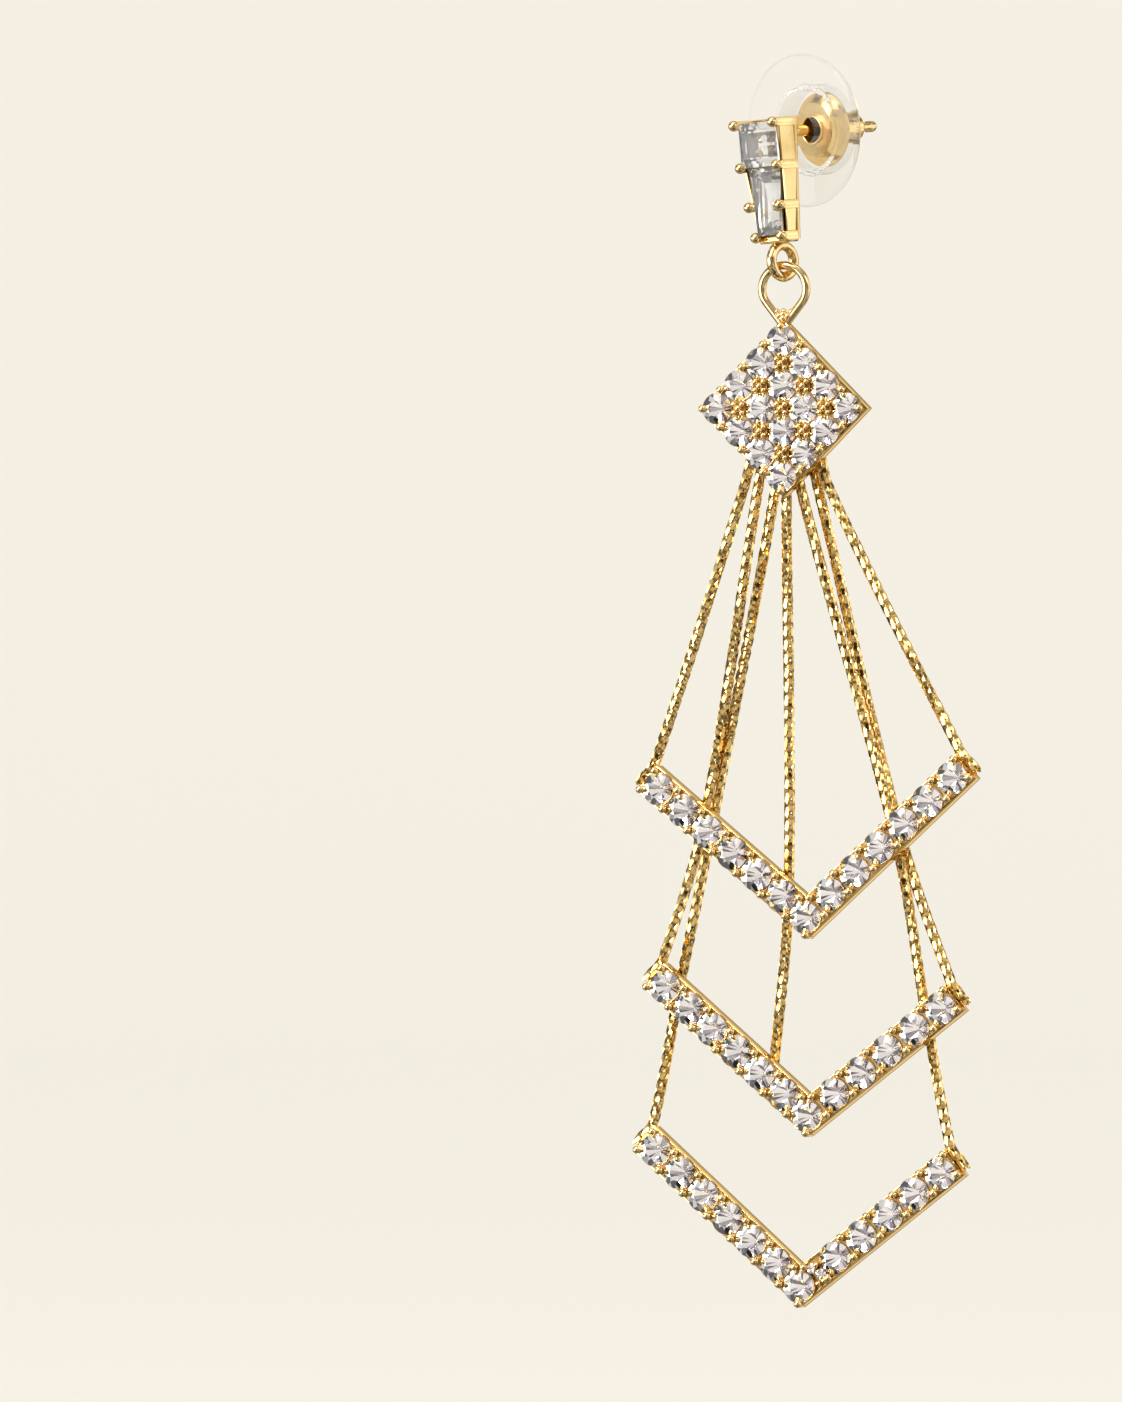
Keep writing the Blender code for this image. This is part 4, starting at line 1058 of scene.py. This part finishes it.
def woven_chain(route, seed):
    """Rows of scales round the curve, each row half a step round from the last one, so that they form
    columns. The columns wind about the curve in slow waves, and each scale leans a little. A plain core
    closes the gaps, coloured with painted shade."""
    curve = smooth_curve(route)
    gone = np.concatenate([[0.0], np.cumsum(np.linalg.norm(np.diff(curve, axis=0), axis=1))])
    count = int(round((gone[-1] - SCALE_LENGTH) / ROW_PITCH)) + 1
    at = np.linspace(SCALE_LENGTH / 2, gone[-1] - SCALE_LENGTH / 2, count)
    places = np.stack([np.interp(at, gone, curve[:, k]) for k in range(3)], -1)
    along = np.gradient(places, axis=0)
    along /= np.linalg.norm(along, axis=1, keepdims=True)
    side = np.cross(along, [0.0, 1.0, 0.0])
    side /= np.linalg.norm(side, axis=1, keepdims=True)
    depth = np.cross(along, side)
    core = swept(places, round_section(CORE_RADIUS, 8), side)

    row = np.repeat(np.arange(count), SCALES_ROUND)
    place_round = np.tile(np.arange(SCALES_ROUND), count) + (row % 2) / 2
    wave = sum(size * np.sin(at[row] * pace + seed * (1 + pace)) for size, pace in WINDING)
    angle = place_round * 2 * np.pi / SCALES_ROUND + math.radians(FIRST_COLUMN_DEG) + wave
    out = np.cos(angle)[:, None] * side[row] + np.sin(angle)[:, None] * depth[row]
    across = np.cross(along[row], out)
    lean = math.radians(SCALE_LEAN_DEG)
    leaning = math.cos(lean) * along[row] + math.sin(lean) * across
    turns = np.stack([leaning, out, np.cross(leaning, out)], -1)
    scales = copies(chain_scale(), places[row] + SCALE_RADIUS * out, turns)
    # the core takes the second material, the painted shade gold
    return joined(scales, core), face_kinds((scales, 0), (core, 1))


chain_gold = plated_metal("chain_gold", (0.98, 0.71, 0.29), 0.1, 5200.0, 0.06)
for seed, (chain_name, row) in enumerate(CHAINS.items()):
    chain, kinds = woven_chain(chain_route(*row), seed)
    add_piece(
        f"chain_{chain_name}_links", chain, drop_home, "drop", [chain_gold, painted_shade_gold],
        f"chain_{chain_name}", kinds=kinds,
    )

# Floor and backdrop
# A pale warm floor that rises to a round backdrop far behind the earring on every side.
FLOOR_DROP, FLOOR_POLE = 12.0, 1.0
FLOOR_RADIUS, BOWL_RADIUS, BOWL_HEIGHT, BOWL_SIDES, BOWL_STEPS = 1700.0, 3000.0, 2200.0, 96, 24
bowl_turn = np.radians(np.linspace(0.0, 90.0, BOWL_STEPS))
bowl_radius = FLOOR_RADIUS + (BOWL_RADIUS - FLOOR_RADIUS) * np.sin(bowl_turn)
bowl_rise = BOWL_HEIGHT * (1 - np.cos(bowl_turn))
bowl_profile = np.vstack([(FLOOR_POLE, 0.0), np.stack([bowl_radius, bowl_rise], -1)])
bowl_points, bowl_quads, bowl_caps = turned(bowl_profile, BOWL_SIDES)
bowl_faces = bowl_quads[:, ::-1].tolist() + [bowl_caps[0][::-1].tolist()]
bowl_home = (np.eye(3)[[2, 0, 1]], np.array([0.0, 0.0, cad_box[0][2] - FLOOR_DROP * MM]))  # its axis upright
floor_paint, *_ = new_material(
    "floor_paint", Base_Color=(0.2, 0.19, 0.17, 1.0), Emission_Color=(0.93, 0.895, 0.8, 1.0),
    Emission_Strength=0.76, Roughness=0.9, Specular_IOR_Level=0.0,
)
floor = placed_mesh("floor", bowl_points, bowl_faces, bowl_home, [floor_paint], 0)
floor.data.shade_smooth()
floor.visible_glossy = False
floor.visible_diffuse = False
floor.visible_shadow = False

# Light
# A bright studio: a warm white room with large soft panels and a few dark flags, which gives polished metal
# and stones their highlights and their dark lines, and one large soft lamp from the upper left.
PANELS = [
    # azimuth of the panel from -Y towards +X, elevation, half width, softness in degrees, brightness added
    (5.0, 50.0, 16.0, 7.0, 2.4),
    (-17.0, 0.0, 16.0, 4.0, 4.2),
    (92.0, 28.0, 10.0, 4.0, 2.0),
    (45.0, 85.0, 20.0, 12.0, 0.9),
    (-52.0, -2.0, 13.0, 6.0, 2.0),
    (135.0, 6.0, 22.0, 10.0, 0.8),
    (-150.0, 10.0, 25.0, 12.0, 0.4),
    (30.0, -1.0, 8.0, 4.0, -0.6),
    (60.0, 12.0, 7.0, 4.0, -0.6),
    (45.0, -66.0, 28.0, 8.0, -0.4),
    (-100.0, -6.0, 12.0, 5.0, -0.4),
]
ROOM_COLOUR, ROOM_DARK, ROOM_LIGHT, LEAST_LIGHT = (1.0, 0.965, 0.93), 0.12, 0.66, 0.02
CLUTTER_SCALE, CLUTTER_DETAIL, CLUTTER_ENDS = 4.5, 1.0, (0.46, 0.55)
world = bpy.data.worlds.new("studio")
world.use_nodes = True
bpy.context.scene.world = world
nodes, links = world.node_tree.nodes, world.node_tree.links
direction = nodes.new("ShaderNodeTexCoord").outputs["Generated"]
clutter = fine_noise(nodes, links, CLUTTER_SCALE, CLUTTER_DETAIL, "Generated")
level = ranged(nodes, links, clutter, CLUTTER_ENDS, (ROOM_DARK, ROOM_LIGHT))
for azimuth, elevation, half_width, softness, brightness in PANELS:
    a, e = math.radians(azimuth), math.radians(elevation)
    dot = nodes.new("ShaderNodeVectorMath")
    dot.operation = "DOT_PRODUCT"
    dot.inputs[1].default_value = (math.sin(a) * math.cos(e), -math.cos(a) * math.cos(e), math.sin(e))
    links.new(direction, dot.inputs[0])
    ends = [math.cos(math.radians(degrees)) for degrees in (half_width + softness, half_width)]
    panel = ranged(nodes, links, dot.outputs["Value"], ends, (0.0, brightness), "SMOOTHSTEP")
    add = nodes.new("ShaderNodeMath")
    links.new(level, add.inputs[0])
    links.new(panel, add.inputs[1])
    level = add.outputs["Value"]
above_black = nodes.new("ShaderNodeMath")
above_black.operation = "MAXIMUM"
above_black.inputs[1].default_value = LEAST_LIGHT
links.new(level, above_black.inputs[0])
background = nodes["Background"]
set_inputs(background, Color=(*ROOM_COLOUR, 1.0))
links.new(above_black.outputs["Value"], background.inputs["Strength"])

key = added("key_lamp", bpy.data.lights.new("key_lamp", "AREA"))
key.data.shape = "DISK"
key.data.size = 0.35
key.data.energy = 4.0
key.data.color = (1.0, 0.97, 0.92)
key.location = (0.05, -0.75, 0.5)
key.rotation_euler = (math.radians(56.0), 0.0, math.radians(4.0))

# Camera
# Long lens at the height of the chains, 45 degrees round to the viewer's right of the stud's front.
CAMERA_AZIMUTH_DEG, CAMERA_DISTANCE = 45.0, 1.4
PIXELS_PER_MM = 14.0
PHOTO_WIDTH, PHOTO_HEIGHT = 1122, 1402
HANG_PIXEL = (784.2, 276.8)
SENSOR = 36.0
azimuth = math.radians(CAMERA_AZIMUTH_DEG)
right = np.array([math.cos(azimuth), math.sin(azimuth), 0.0])
towards_camera = np.array([math.sin(azimuth), -math.cos(azimuth), 0.0])
aim = (
    hang_point
    + right * (PHOTO_WIDTH / 2 - HANG_PIXEL[0]) / PIXELS_PER_MM * MM
    - np.array([0.0, 0.0, 1.0]) * (PHOTO_HEIGHT / 2 - HANG_PIXEL[1]) / PIXELS_PER_MM * MM
)
camera = added("camera", bpy.data.cameras.new("camera"))
camera.data.sensor_width = SENSOR
camera.data.lens = SENSOR * CAMERA_DISTANCE / (PHOTO_HEIGHT / PIXELS_PER_MM * MM)
camera.data.clip_end = 10.0
camera.location = aim + towards_camera * CAMERA_DISTANCE
camera.rotation_euler = (math.radians(90.0), 0.0, azimuth)
bpy.context.scene.camera = camera
bpy.context.scene.view_settings.view_transform = "Standard"
